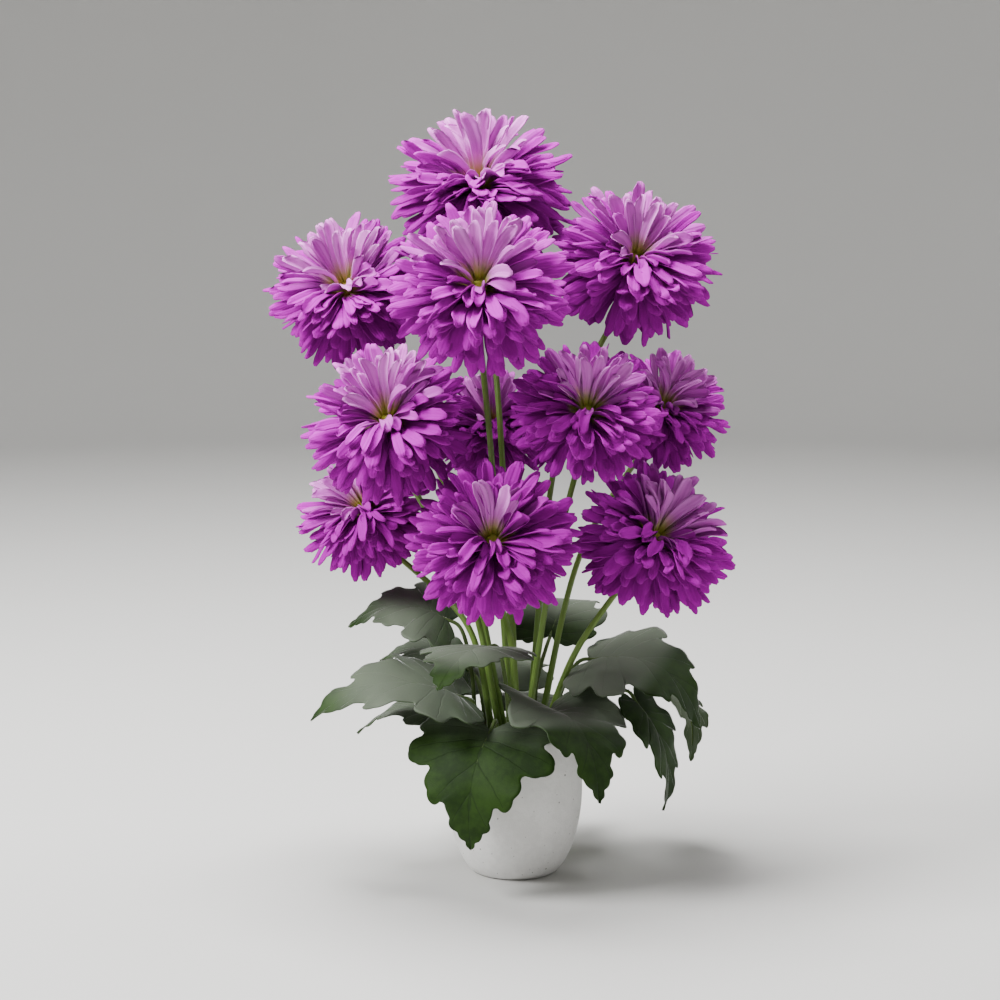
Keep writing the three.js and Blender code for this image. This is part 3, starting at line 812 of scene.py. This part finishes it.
def petal_material(look):
    """Petal: greenish foot, pale while young and magenta when full grown, with a painted highlight that
    makes its edges and tip paler, fine lines, and painted shade, a darker copy of the outer colour,
    towards the petals' feet where they crowd together and on the older petals towards the bloom's back.

    The value age runs from 0 at the eye to 1 at the back and includes each bloom's painted light and
    shade, tint differs from petal to petal, and the UV pair runs along and across each petal.
    """
    material, w, shader = new_material("Petal", 0.85, 0.02)
    along, across = w.uv()
    age = w.value("age")
    tint = w.value("tint")
    ripeness = w.math("ADD", age, w.math("MULTIPLY_ADD", tint, TINT_AGE, -TINT_AGE / 2))
    ripeness = w.math("ADD", ripeness, w.math("MULTIPLY_ADD", along, TIP_AGE, -TIP_AGE / 2))
    ripe = w.ease(ripeness, *RIPE_RANGE)
    petal = w.mix(ripe, look.pale, look.deep)
    away = w.math("ABSOLUTE", w.math("MULTIPLY_ADD", across, 2.0, -1.0))
    # Painted highlight: the petal turns paler along its edges and tip, standing in for light caught on
    # its rims, less on full-grown petals
    edge = w.math("MAXIMUM", w.ease(away, 0.72, 1.0), w.ease(along, 0.93, 1.0))
    edge = w.math("MULTIPLY", edge, w.math("MULTIPLY_ADD", ripe, -0.36, 0.42))
    petal = w.mix(edge, petal, PETAL_EDGE_HIGHLIGHT)
    length = w.math("MULTIPLY", along, 2.0)
    lines = w.group(lines_group(), Across=across, Along=length, Count=7.0, Seed=tint)
    petal = w.mix(w.math("MULTIPLY", lines, 0.32), petal, tuple(0.62 * c for c in look.deep))
    # Painted shade: a darker copy of the outer colour towards each petal's foot, where the petals crowd,
    # and on the older petals towards the bloom's back
    painted_shade = w.math("MULTIPLY", w.inverse(w.ease(along, 0.20, 0.80)), ripe)
    painted_shade = w.math("MAXIMUM", w.math("MULTIPLY", painted_shade, 0.70), w.ease(age, 0.35, 0.95, 0.0, 0.50))
    petal = w.mix(painted_shade, petal, tuple(0.45 * c for c in look.deep))
    foot_end = w.math("MULTIPLY_ADD", age, -0.35, 0.50)
    foot = w.inverse(w.ease(along, 0.10, foot_end))
    w.feed(w.mix(foot, petal, look.eye), shader["Base Color"])
    w.feed(w.bump(lines, 0.00035), shader["Normal"])
    return material


def leaf_material(look):
    """Leaf: green with darker patches, dark veins in a fine net above, a painted sheen of grey-green
    where it faces up that stands in for the light from above shining on its fine hairs, paler below, and
    with the shader's sheen for those hairs.

    The UV pair is the place on the flat leaf in leaf lengths, with both halves laid on each other. The
    value upward is the share of the blade's normal that points up, and 0 on the underside.
    """
    material, w, shader = new_material("Leaf", 0.62, 0.13, 0.80)
    flat = w.flat()
    bend = w.vector("SUBTRACT", w.noise(flat, 7.0, 2.0, "Color"), (0.5, 0.5, 0.5))
    place = w.vector("ADD", flat, w.vector("MULTIPLY", bend, (0.035, 0.035, 0.0)))
    veins = w.group(vein_group(), Place=place, Root=(0, 0, 0), Tip=(1, 0, 0), Width=MIDRIB_WIDTH)
    for root, tip in LEAF_VEINS:
        one = w.group(vein_group(), Place=place, Root=(*root, 0), Tip=(*tip, 0), Width=VEIN_WIDTH)
        veins = w.math("MAXIMUM", veins, one)
    cells = w.node("ShaderNodeTexVoronoi", feature="DISTANCE_TO_EDGE")
    w.feed(place, cells.inputs["Vector"])
    cells.inputs["Scale"].default_value = 34.0
    net = w.inverse(w.ease(cells.outputs["Distance"], 0.0, 0.09))
    patches = w.group(mottling_group(), Place=w.place(), Scale=30.0)
    main = w.math("MULTIPLY", veins, 0.6)
    upper = w.mix(patches, look.green, look.dark)
    upper = w.mix(w.math("MAXIMUM", main, w.math("MULTIPLY", net, 0.12)), upper, look.vein)
    lower = w.mix(main, look.under, tuple(1.5 * c for c in look.under))
    blade = w.mix(w.value("underside"), upper, lower)
    # Painted sheen: where the blade faces up its colour turns grey-green, standing in for the light from
    # above shining on its fine hairs
    top_sheen_share = w.ease(w.value("upward"), 0.77, 0.99, 0.0, 0.85)
    blade = w.mix(top_sheen_share, blade, look.painted_top_sheen)
    w.feed(w.mix(w.value("stalk"), blade, STALK_COLOUR), shader["Base Color"])
    relief = w.math("MULTIPLY_ADD", veins, -1.0, w.math("MULTIPLY", net, -0.22))
    w.feed(w.bump(w.math("MULTIPLY_ADD", patches, 0.3, relief), 0.00015), shader["Normal"])
    return material


def pot_surface():
    """The pot: its profile turned about Z, outside from the foot to the lip, over it and back along the
    inside to the floor.

    The outside is two Bezier curves, the lip is half an ellipse as wide as the wall, and the inside is
    the outside moved in by the wall.
    """
    shoulder_top = (POT_RIM, POT_HEIGHT - POT_LIP_RISE)
    belly = bezier(POT_FOOT, *POT_BELLY_HANDLES, POT_BELLY, POT_BELLY_STEPS)
    shoulder = bezier(POT_BELLY, *POT_SHOULDER_HANDLES, shoulder_top, POT_SHOULDER_STEPS)
    outside = np.vstack([belly, shoulder[1:]])
    turn = np.linspace(0, math.pi, POT_LIP_STEPS + 1)[1:-1]
    half = POT_WALL / 2
    lip = np.stack([half * np.cos(turn) - half, POT_LIP_RISE * np.sin(turn)], 1) + shoulder_top
    inside = (outside[outside[:, 1] > 2 * POT_FLOOR] - (POT_WALL, 0))[::-1]
    corner = (inside[-1, 0] - POT_WALL, POT_FLOOR)
    foot = (POT_FOOT[0] - POT_FOOT_EDGE, 0)
    profile = np.vstack([(0, 0), foot, outside, lip, inside, corner, (0, POT_FLOOR)])
    return turned(profile, POT_SIDES)


def soil_surface(look):
    """The soil: a low dome inside the pot's wall, covered by crumbs, with plain sides and underside.

    Its height is the dome's plus that of the tallest crumb over the point, and each crumb is the upper
    part of a ball of seeded place and size.
    """
    draw = np.random.default_rng(SEED)
    spread = np.sqrt(draw.random(look.crumbs)) * SOIL_EDGE
    turn = draw.random(look.crumbs) * 2 * math.pi
    centres = np.stack([spread * np.cos(turn), spread * np.sin(turn)], 1)
    sizes = look.crumb_size * blend(CRUMB_SMALLEST, 1.0, draw.random(look.crumbs) ** 2)
    radius = np.linspace(SOIL_EDGE, 0, SOIL_RINGS, endpoint=False)
    around = np.linspace(0, 2 * math.pi, SOIL_SIDES, endpoint=False)
    flat = np.stack([np.outer(radius, np.cos(around)), np.outer(radius, np.sin(around))], -1)
    away = np.linalg.norm(flat.reshape(-1, 1, 2) - centres, axis=-1)
    raised = np.sqrt(np.clip(sizes**2 - away**2, 0, None)) - CRUMB_SUNK * sizes
    crumb = np.clip(raised.max(1), 0, None).reshape(SOIL_RINGS, SOIL_SIDES)
    shift = np.zeros((SOIL_RINGS + 1, SOIL_SIDES, 3))
    shift[1:, :, 2] = crumb * ease(SOIL_EDGE - radius, 0, CRUMB_FADE)[:, None]
    dome = SOIL_TOP + SOIL_MOUND * (1 - radius / SOIL_EDGE)
    profile = np.vstack([
        (0, POT_FLOOR + GAP), (SOIL_BASE_EDGE, POT_FLOOR + GAP),
        np.stack([radius, dome - SOIL_SUNK], 1), (0, SOIL_TOP + SOIL_MOUND),
    ])
    soil = turned(profile, SOIL_SIDES, shift)
    height = np.append(shift[..., 2].ravel(), (0, 0))
    soil.values["crumb"] = np.clip(height / (CRUMB_PALE * look.crumb_size), 0, 1)
    return soil


def bloom_axis(lean):
    """The direction out of a bloom's eye: up, plus the tangents of its leans forward and right."""
    front, right = (math.tan(math.radians(angle)) for angle in lean)
    return unit(np.array([right, -front, 1.0]))


def foot_of(root, towards, depth):
    """A straight stretch through the soil's top: its upper end, its lower end and a level side."""
    top = np.array([*root, SOIL_TOP + SOIL_MOUND + SOIL_STANDING])
    along = unit(np.array(towards) - top)
    side = unit(np.cross((0, 1, 0), along))
    return top, top - along * depth, side


def stem_surface(look, flower):
    """One stem: a ribbed rod from the soil to the bloom's core, where it swells into the receptacle,
    with two rings of small bracts that fold up round it.

    The rod follows a smooth curve from its straight foot by way of one point to the bloom's axis. Its
    radius shrinks a little above the soil and swells over the last part, each by the cubic ease.
    """
    centre, reach, lean, root, via = flower
    axis = bloom_axis(lean)
    core = CORE_SHARE * reach
    end = np.array(centre) + axis * (core * math.cos(CORE_LAST) - GAP)
    top, bottom, side = foot_of(root, via, STEM_DEPTH)
    neck = end - axis * RECEPTACLE_LENGTH
    curve = through([top, via, end - axis * STEM_STRAIGHT, neck], STEM_STEPS)
    swell = blend(end, neck, np.linspace(1, 0, RECEPTACLE_STEPS + 1)[1:, None])
    path = np.vstack([bottom, curve, swell])
    end_radius = RECEPTACLE_SHARE * core * math.sin(CORE_LAST)
    away = np.linalg.norm(end - path, axis=1)
    slimness = ease(path[:, 2], SOIL_TOP, SOIL_TOP + STEM_SLIM_HEIGHT)
    slim = blend(STEM_RADIUS, STEM_TOP_RADIUS, slimness)
    radii = blend(end_radius, slim, ease(away, 0.0, SWELL_LENGTH))
    rod = tube(path, radii, side, STEM_SIDES, STEM_RIBS, look.rib_depth)
    return joined([rod, bract_surface(end, axis, side, end_radius)])


def bract_surface(end, axis, side, radius):
    """Two rings of pointed bracts round a receptacle, each a thin shell of a lens-shaped outline.

    A bract's midline leaves the receptacle along the axis and tilts outwards as it goes. Its half width
    is a sine of the distance along it to the power 0.8, and it is hollow across by a parabola.
    """
    order = np.arange(BRACTS)
    outer = (order % 2)[:, None]
    turn = order * GOLDEN_TURN
    along = np.linspace(0, 1, BRACT_ROWS)
    across = np.array([-1.0, 0.0, 1.0])
    tilt = blend(*BRACT_TILTS, along) + outer * BRACT_OUTER_TILT
    step = blend(*BRACT_LENGTHS, outer) * np.gradient(along)
    out = radius * BRACT_FOOT_SHARE + np.cumsum(np.sin(tilt) * step, axis=1)
    up = BRACT_RISE_SHARE * np.cumsum(np.cos(tilt) * step, axis=1) - BRACT_DROP
    half = BRACT_HALF_WIDTH * np.sin(math.pi * blend(*BRACT_OUTLINE, along)) ** 0.8
    first = unit(side - axis * (side @ axis))
    second = np.cross(axis, first)
    radial = first * np.cos(turn)[:, None] + second * np.sin(turn)[:, None]
    around = np.cross(axis, radial)
    spine = end + radial[:, None] * out[..., None] + axis * up[..., None]
    inner = radial[:, None] * -np.cos(tilt)[..., None] + axis * np.sin(tilt)[..., None]
    upper = spine[:, :, None] + around[:, None, None] * (half[:, None] * across)[None, ..., None]
    upper = upper + inner[:, :, None] * (BRACT_HOLLOW * across**2)[:, None]
    lower = upper - inner[:, :, None] * BRACT_THICKNESS
    points = np.stack([upper, lower], axis=1)
    uv = np.stack(np.broadcast_arrays(across / 2 + 0.5, along[:, None]), -1)
    uv = np.broadcast_to(uv, points.shape[:-1] + (2,))
    return Surface(points, shell_faces(BRACT_ROWS, len(across), BRACTS), uv)


def petal_surface(look, flower, bloom_light_and_shade, draw):
    """One bloom: thin petals in a golden-angle spiral from the eye to the back.

    Petal i's polar angle has a cosine evenly spaced between those of the first and last angle. Towards
    the viewer's side the angles near the eye are opened up, and the petals there are short and curl
    over. A petal's midline leaves a small core and bends away from the axis by an angle that grows with
    age, with an S-bend of a sine laid over it. Its length puts the tip on a globe flattened by the
    squared cosine of the angle. Across, it is a parabola that is cupped while young and arched when old,
    its outline is narrow at the foot and round at the tip, and it twists and swerves. The colour's age
    is the angle's share, more on the viewer's side, plus the bloom's painted light and shade: deeper on a
    bloom in the shade of others, paler on one that faces the lights. A small ball closes the eye.
    """
    centre, reach, lean = flower[:3]
    rotation = np.array(Vector((0, 0, 1)).rotation_difference(Vector(bloom_axis(lean))).to_matrix())
    front = math.atan2(*(rotation.T @ (0, -1, 0))[1::-1])
    count = look.petals
    order = (np.arange(count) + 0.5) / count
    polar = np.arccos(blend(math.cos(PETAL_FIRST), math.cos(PETAL_LAST), order))
    polar = polar + draw.normal(0, POLAR_SPREAD, count)
    turn = np.arange(count) * GOLDEN_TURN + draw.normal(0, TURN_SPREAD, count)
    age = np.clip((polar - PETAL_FIRST) / (PETAL_LAST - PETAL_FIRST), 0, 1)
    facing = (0.5 + 0.5 * np.cos(turn - front)) ** 1.3
    curled = facing * (1 - ease(polar, CURLED_START, CURLED_END))
    polar = polar + EYE_OPENING * facing * (1 - ease(polar, PETAL_FIRST, EYE_OPENING_END))
    colour = age + VIEWER_AGE * facing * ease(age, 0.03, 0.15) + BACK_AGE * (1 - facing) ** 2
    # Each bloom's painted light and shade: deeper colour on blooms in the shade of others, paler on those
    # that face the lights
    colour = np.clip(colour + CURLED_AGE * curled + bloom_light_and_shade, 0, 1)

    bend = blend(*PETAL_BENDS, age) + CURLED_BEND * curled + draw.normal(0, BEND_SPREAD, count)
    fine = np.linspace(0, 1, ARC_STEPS + 1)
    heading = polar[:, None] + bend[:, None] * (fine**1.4 - 0.42)
    sway = draw.normal(0, SWAY_SPREAD, count)
    heading = heading + sway[:, None] * np.sin(2 * math.pi * fine)
    rise = np.stack([np.sin(heading), np.cos(heading)], -1)
    middles = (rise[:, 1:] + rise[:, :-1]) / (2 * ARC_STEPS)
    arc = np.concatenate([np.zeros((count, 1, 2)), np.cumsum(middles, axis=1)], axis=1)
    root = PETAL_ROOT_SHARE * reach * np.stack([np.sin(polar), np.cos(polar)], -1)
    globe = reach * (1 - GLOBE_FLATTENING * np.cos(polar) ** 2)
    globe = globe * (TIP_SHARE - TIP_SHORTFALL * draw.random(count) ** 1.3)
    globe = globe * (1 - CURLED_SHORTENING * curled)
    chord = arc[:, -1]
    dot = (root * chord).sum(1)
    square = (chord**2).sum(1)
    length = (np.sqrt(dot**2 - square * ((root**2).sum(1) - globe**2)) - dot) / square

    along = fine[PETAL_STATIONS]
    across = PETAL_ACROSS
    angle = heading[:, PETAL_STATIONS]
    spine = root[:, None] + arc[:, PETAL_STATIONS] * length[:, None, None]
    grown = look.width / 2 * reach / WIDTH_REACH * blend(*PETAL_WIDTHS, ease(age, 0.2, 0.5))
    grown = (grown * blend(*PETAL_WIDTH_RANGE, draw.random(count)))[:, None]
    half = grown * PETAL_OUTLINE
    twist = draw.normal(0, TWIST_SPREAD, count)[:, None]
    twist = twist + draw.normal(0, TIP_TWIST_SPREAD, count)[:, None] * along
    swerve = draw.normal(0, SWERVE_SPREAD, count)[:, None] * along**2
    ripple = draw.normal(0, RIPPLE_SPREAD, count)[:, None] * np.sin(2 * math.pi * along)
    swerve = (swerve + ripple) * length[:, None]
    cup = blend(*PETAL_CUPS, ease(age, 0.05, 0.5)) + draw.normal(0, CUP_SPREAD, count)
    notch = NOTCH_DEPTH * draw.random(count)[:, None] * (across == 0)
    setback = (CORNER_SETBACK * across**2 + notch) * 2 * grown

    def lay(radial, sideways, axial):
        """Vectors at every station: out from the bloom's axis, sideways and along the axis."""
        return np.stack(np.broadcast_arrays(radial, sideways, axial), -1)[:, :, None]

    tangent = lay(np.sin(angle), 0.0, np.cos(angle))
    normal = lay(-np.cos(angle) * np.cos(twist), -np.sin(twist), np.sin(angle) * np.cos(twist))
    side = lay(-np.cos(angle) * np.sin(twist), np.cos(twist), np.sin(angle) * np.sin(twist))
    middle = lay(spine[..., 0], swerve, spine[..., 1])
    hollow = (cup[:, None, None] * half[..., None] * (across**2 - 0.3))[..., None]
    back = (setback[:, None] * (along**8)[:, None])[..., None]
    upper = middle + side * (half[..., None] * across)[..., None] + normal * hollow - tangent * back
    lower = upper - normal * PETAL_THICKNESS
    points = np.stack([upper, lower], axis=1)

    cosine, sine = (f(turn).reshape(-1, 1, 1, 1) for f in (np.cos, np.sin))
    x, y, z = points[..., 0], points[..., 1], points[..., 2]
    points = np.stack([x * cosine - y * sine, x * sine + y * cosine, z], -1) @ rotation.T + centre
    shape = points.shape[:-1]
    uv = np.stack(np.broadcast_arrays(along[:, None], across / 2 + 0.5), -1)
    each = shape[1] * shape[2] * shape[3]
    petals = Surface(
        points, shell_faces(len(along), len(across), count), np.broadcast_to(uv, shape + (2,)),
        age=np.repeat(colour, each), tint=np.repeat(draw.random(count), each))
    arc = np.linspace(-math.pi / 2, math.pi / 2, EYE_SIDES // 2 + 1)
    eye = turned(np.stack([np.cos(arc), np.sin(arc)], 1) * EYE_SHARE * reach, EYE_SIDES)
    eye.points = eye.points @ rotation.T + centre
    return joined([petals, eye])


def leaf_place(leaf):
    """A function that gives the place and normal for points (u, v) of a flat leaf, the leaf's length and
    the direction in which its midrib sets out.

    u runs along an arched midrib, which is a quadratic Bezier curve whose crest is twice the arch off
    the middle of the chord, and v to its side. The blade rises beside the midrib and sags further out,
    and the lobes at its base stand up by the cup.
    """
    base, tip = (np.array(p) for p in leaf[:2])
    arch, breadth, roll, cup = leaf[2:6]
    chord = tip - base
    flat = unit(np.array([chord[1], -chord[0], 0.0]))
    above = unit(np.cross(flat, chord))
    crest = (base + tip) / 2 + above * 2 * arch
    shares = np.linspace(0, 1, MIDRIB_POINTS)
    t = shares[:, None]
    curve = (1 - t) ** 2 * base + 2 * t * (1 - t) * crest + t**2 * tip
    walked = np.concatenate([[0], np.cumsum(np.linalg.norm(np.diff(curve, axis=0), axis=1))])
    length = walked[-1]
    angle = math.radians(roll)
    side = flat * math.cos(angle) + np.cross(unit(chord), flat) * math.sin(angle)

    def place(u, v):
        inside = np.clip(u, 0, 1)
        t = np.interp(inside * length, walked, shares)[..., None]
        along = unit(2 * (1 - t) * (crest - base) + 2 * t * (tip - crest))
        normal = unit(np.cross(side, along))
        width = v * breadth
        stand = cup * np.clip(1 - u / LEAF_CUP_EXTENT, 0, None)
        rise = (LEAF_RISE + stand) * np.sqrt(width**2 + MIDRIB_ROUNDING**2)
        lift = length * (rise - LEAF_SAG * width**2)
        point = (1 - t) ** 2 * base + 2 * t * (1 - t) * crest + t**2 * tip
        point = point + along * ((u - inside) * length)[..., None] + side * (width * length)[..., None]
        return point + normal * lift[..., None], normal

    return place, length, unit(crest - base)


def leaf_margin(look, length, draw):
    """Half a leaf's margin: a smooth curve through its named points, with rounded teeth.

    The teeth are the absolute value of a sine of the distance walked, with a slow wave in their spacing,
    laid off square to the margin and fading out at the base and tip. Each margin point's foot on the
    midrib is given with it.
    """
    knots = np.column_stack([LEAF_MARGIN, LEAF_FEET])
    dense = through(knots, MARGIN_STEPS)
    walked = np.linspace(0, 1, len(dense))
    slope = unit(np.gradient(dense[:, :2], axis=0))
    outward = np.stack([-slope[:, 1], slope[:, 0]], 1)
    phase = 0.02 * np.sin(walked * 9 + draw.random() * 6)
    teeth = np.abs(np.sin(math.pi * (walked + phase) * LEAF_TEETH)) - 0.45
    fade = ease(walked, 0.03, 0.12) * (1 - ease(walked, 0.95, 1.0))
    margin = dense[:, :2] + outward * (teeth * fade * look.tooth / length)[:, None]
    wanted = np.linspace(*LEAF_ENDS, LEAF_ROWS)
    return [np.interp(wanted, walked, column) for column in (margin[:, 0], margin[:, 1], dense[:, 2])]


def leaf_surface(look, leaf, draw):
    """One leaf: a thin blade and its stalk.

    Row by row the blade's grid runs from one margin over the midrib to the other, straight in the flat
    leaf. Each point is moved off the blade by a wave that grows towards the margin, and dips by a bell
    curve of its distance from the nearest vein. The underside lies one thickness below. The value
    upward is the height of the blade's unit normal, and 0 below.
    """
    place, length, set_out = leaf_place(leaf)
    along, out, foot = (line[:, None] for line in leaf_margin(look, length, draw))
    share = np.linspace(1, -1, 2 * LEAF_COLUMNS + 1)
    distance = np.abs(share)
    u = blend(foot, along, distance)
    v = out * share
    points, normal = place(u, v)
    long = np.sin(2 * math.pi * (2.2 * u + 0.5 * np.sign(v) + draw.random()))
    short = np.sin(2 * math.pi * (4.6 * u + 0.3 * np.sign(v) + draw.random()))
    wave = LEAF_WAVE * length / LEAF_WAVE_LENGTH * (long * distance**2 + 0.5 * short * distance**3)
    uv = np.stack([u, np.abs(v)], -1)
    gap = np.ones(u.shape)
    for root, tip in LEAF_VEINS:
        line = np.subtract(tip, root)
        offset = uv - root
        nearest = np.clip(offset @ line / (line @ line), 0, 1)
        gap = np.minimum(gap, np.linalg.norm(offset - nearest[..., None] * line, axis=-1))
    dip = look.quilting * np.exp(-((gap / VEIN_REACH) ** 2)) * (1 - 0.5 * distance)
    upper = points + normal * (wave - dip)[..., None]
    lower = upper - normal * LEAF_THICKNESS
    blade = Surface(
        np.stack([upper, lower]), shell_faces(*u.shape), np.stack([uv, uv]),
        underside=np.repeat([0.0, 1.0], u.size),
        upward=np.append(np.clip(normal[..., 2], 0, 1), np.zeros(u.size)))
    return joined([blade, stalk_surface(leaf, place, set_out)])


def stalk_surface(leaf, place, set_out):
    """A leaf's stalk: a rod from the soil over a knee to the blade, and on under the midrib, tapering."""
    turn = math.radians(leaf[6])
    root = STALK_RING * np.array([math.cos(turn), math.sin(turn)])
    before = np.array(leaf[0]) - set_out * STALK_STRAIGHT
    knee = blend(np.array([*root, SOIL_TOP]), before, STALK_KNEE_OUT)
    knee[2] += STALK_KNEE_RISE * (before[2] - SOIL_TOP)
    top, bottom, side = foot_of(root, knee, STALK_DEPTH)
    rib = np.linspace(*RIB_STRETCH, RIB_POINTS)
    under, normal = place(rib, np.zeros(rib.shape))
    radii = blend(*RIB_RADII, rib)
    under = under - normal * (LEAF_THICKNESS + 0.5 * radii)[:, None]
    curve = through([top, knee, before, under[0]], STALK_STEPS)
    path = np.vstack([bottom, curve, under[1:]])
    away = np.linspace(0, 1, len(curve) + 1)
    wide = np.concatenate([blend(STALK_RADIUS, STALK_TOP_RADIUS, away**2), radii[1:]])
    return tube(path, wide, side, STALK_SIDES, stalk=1.0, underside=1.0)


class BuildStep:
    """What the operators share: each builds its pieces once, from the looks in the scene."""

    bl_options = {"REGISTER", "UNDO"}


class CHRYSANTHEMUM_OT_stage(BuildStep, bpy.types.Operator):
    """Build the floor, backdrop, lights and camera."""

    bl_idname = "chrysanthemum.stage"
    bl_label = "Build Stage"

    def execute(self, context):
        look = context.scene.chrysanthemum.stage
        self.floor(look)
        self.light("Key light", *KEY_LIGHT, look.key)
        self.light("Fill light", *FILL_LIGHT, look.fill)
        self.light("Top light", *TOP_LIGHT, look.top)
        world = bpy.data.worlds.new("Studio")
        world.use_nodes = True
        background = world.node_tree.nodes["Background"].inputs
        background["Color"].default_value = (1, 1, 1, 1)
        background["Strength"].default_value = look.sky
        context.scene.world = world
        self.camera(context.scene)
        return {"FINISHED"}

    @staticmethod
    def floor(look):
        """A round floor whose edge sweeps up into a round backdrop, by a quarter circle."""
        turn = np.linspace(0, math.pi / 2, SWEEP_STEPS + 1)
        inner = np.stack([FLOOR_RINGS, np.zeros(len(FLOOR_RINGS))], 1)
        sweep = np.stack([look.radius + np.sin(turn), 1 - np.cos(turn)], 1)
        radius, height = np.vstack([inner, sweep, (look.radius + 1, BACKDROP_TOP)]).T[..., None]
        around = np.linspace(0, 2 * math.pi, FLOOR_SIDES, endpoint=False)
        rings = np.broadcast_arrays(radius * np.cos(around), radius * np.sin(around), height)
        faces = [ring_faces(len(radius), FLOOR_SIDES)[:, ::-1], np.arange(FLOOR_SIDES)[None]]
        material, w, shader = new_material("Pale floor", 0.9, 0.1)
        tone = w.math("MULTIPLY", w.group(mottling_group(), Place=w.place(), Scale=1.2), 0.15)
        w.feed(w.mix(tone, look.floor, tuple(0.93 * c for c in look.floor)), shader["Base Color"])
        mesh = new_mesh("floor", np.stack(rings, -1).reshape(-1, 3), faces, material)
        floor = bpy.data.objects.new("floor", mesh)
        bpy.context.scene.collection.objects.link(floor)

    @staticmethod
    def light(name, place, size, power):
        """A square soft light that faces the plant's middle."""
        data = bpy.data.lights.new(name, "AREA")
        data.size = size
        data.energy = power
        lamp = bpy.data.objects.new(name, data)
        lamp.location = place
        aim = Vector(LIGHT_AIM) - Vector(place)
        lamp.rotation_euler = aim.to_track_quat("-Z", "Y").to_euler()
        bpy.context.scene.collection.objects.link(lamp)

    @staticmethod
    def camera(scene):
        """A camera where the photograph was taken from, looking along +Y and tilted a little below level.
        """
        data = bpy.data.cameras.new("camera")
        data.lens = CAMERA_LENS_MM
        data.sensor_width = CAMERA_SENSOR_MM
        camera = bpy.data.objects.new("camera", data)
        camera.location = CAMERA_PLACE
        camera.rotation_euler = (math.radians(90 - CAMERA_PITCH_DEG), 0, 0)
        scene.collection.objects.link(camera)
        scene.camera = camera


class CHRYSANTHEMUM_OT_pot(BuildStep, bpy.types.Operator):
    """Build the smooth pot in matt clay."""

    bl_idname = "chrysanthemum.pot"
    bl_label = "Build Pot"

    def execute(self, context):
        look = context.scene.chrysanthemum.pot
        seat("pot_clay", pot_surface(), clay_material(look), "pot", "pot")
        return {"FINISHED"}


class CHRYSANTHEMUM_OT_soil(BuildStep, bpy.types.Operator):
    """Build the crumbly soil."""

    bl_idname = "chrysanthemum.soil"
    bl_label = "Build Soil"

    def execute(self, context):
        look = context.scene.chrysanthemum.soil
        seat("soil_crumbs", soil_surface(look), soil_material(look), "soil", "soil")
        return {"FINISHED"}


class CHRYSANTHEMUM_OT_stems(BuildStep, bpy.types.Operator):
    """Build the ribbed stems with their receptacles and bracts."""

    bl_idname = "chrysanthemum.stems"
    bl_label = "Build Stems"

    def execute(self, context):
        look = context.scene.chrysanthemum.stem
        material = stem_material(look)
        for number, flower in enumerate(FLOWERS, 1):
            stem = stem_surface(look, flower)
            seat(f"stem_fine_{number:02}", stem, material, "stem", f"stem_{number:02}")
        return {"FINISHED"}


class CHRYSANTHEMUM_OT_blooms(BuildStep, bpy.types.Operator):
    """Build the blooms, petal by petal."""

    bl_idname = "chrysanthemum.blooms"
    bl_label = "Build Blooms"

    def execute(self, context):
        look = context.scene.chrysanthemum.bloom
        material = petal_material(look)
        for number, (flower, bloom_light_and_shade) in enumerate(zip(FLOWERS, PAINTED_BLOOM_LIGHT_AND_SHADE), 1):
            draw = np.random.default_rng(SEED + number)
            petals = petal_surface(look, flower, bloom_light_and_shade, draw)
            seat(f"bloom_petals_{number:02}", petals, material, "petal", f"bloom_{number:02}")
        return {"FINISHED"}


class CHRYSANTHEMUM_OT_leaves(BuildStep, bpy.types.Operator):
    """Build the lobed leaves with their stalks."""

    bl_idname = "chrysanthemum.leaves"
    bl_label = "Build Leaves"

    def execute(self, context):
        look = context.scene.chrysanthemum.leaf
        material = leaf_material(look)
        for number, leaf in enumerate(LEAVES, 1):
            draw = np.random.default_rng(LEAF_SEED + number)
            blade = leaf_surface(look, leaf, draw)
            seat(f"leaf_fine_{number:02}", blade, material, "leaf", f"leaf_{number:02}")
        return {"FINISHED"}


class CHRYSANTHEMUM_PT_plant(bpy.types.Panel):
    """Lists the plant's looks and the steps that build it."""

    bl_idname = "CHRYSANTHEMUM_PT_plant"
    bl_label = "Potted Chrysanthemum"
    bl_space_type = "VIEW_3D"
    bl_region_type = "UI"
    bl_category = "Chrysanthemum"

    def draw(self, context):
        looks = context.scene.chrysanthemum
        parts = ("stage", "pot", "soil", "stem", "bloom", "leaf")
        for part, step in zip(parts, STEPS):
            box = self.layout.box()
            box.operator(step.bl_idname)
            look = getattr(looks, part)
            for name in look.__annotations__:
                box.prop(look, name)


STEPS = (
    CHRYSANTHEMUM_OT_stage,
    CHRYSANTHEMUM_OT_pot,
    CHRYSANTHEMUM_OT_soil,
    CHRYSANTHEMUM_OT_stems,
    CHRYSANTHEMUM_OT_blooms,
    CHRYSANTHEMUM_OT_leaves,
)
LOOKS = (PotLook, SoilLook, StemLook, BloomLook, LeafLook, StageLook, PlantLooks)


def register():
    for cls in (*LOOKS, *STEPS, CHRYSANTHEMUM_PT_plant):
        bpy.utils.register_class(cls)
    bpy.types.Scene.chrysanthemum = PointerProperty(type=PlantLooks)


def unregister():
    del bpy.types.Scene.chrysanthemum
    for cls in reversed((*LOOKS, *STEPS, CHRYSANTHEMUM_PT_plant)):
        bpy.utils.unregister_class(cls)


def main():
    register()
    for step in STEPS:
        group, name = step.bl_idname.split(".")
        getattr(getattr(bpy.ops, group), name)()
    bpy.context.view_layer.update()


if __name__ == "__main__":
    main()
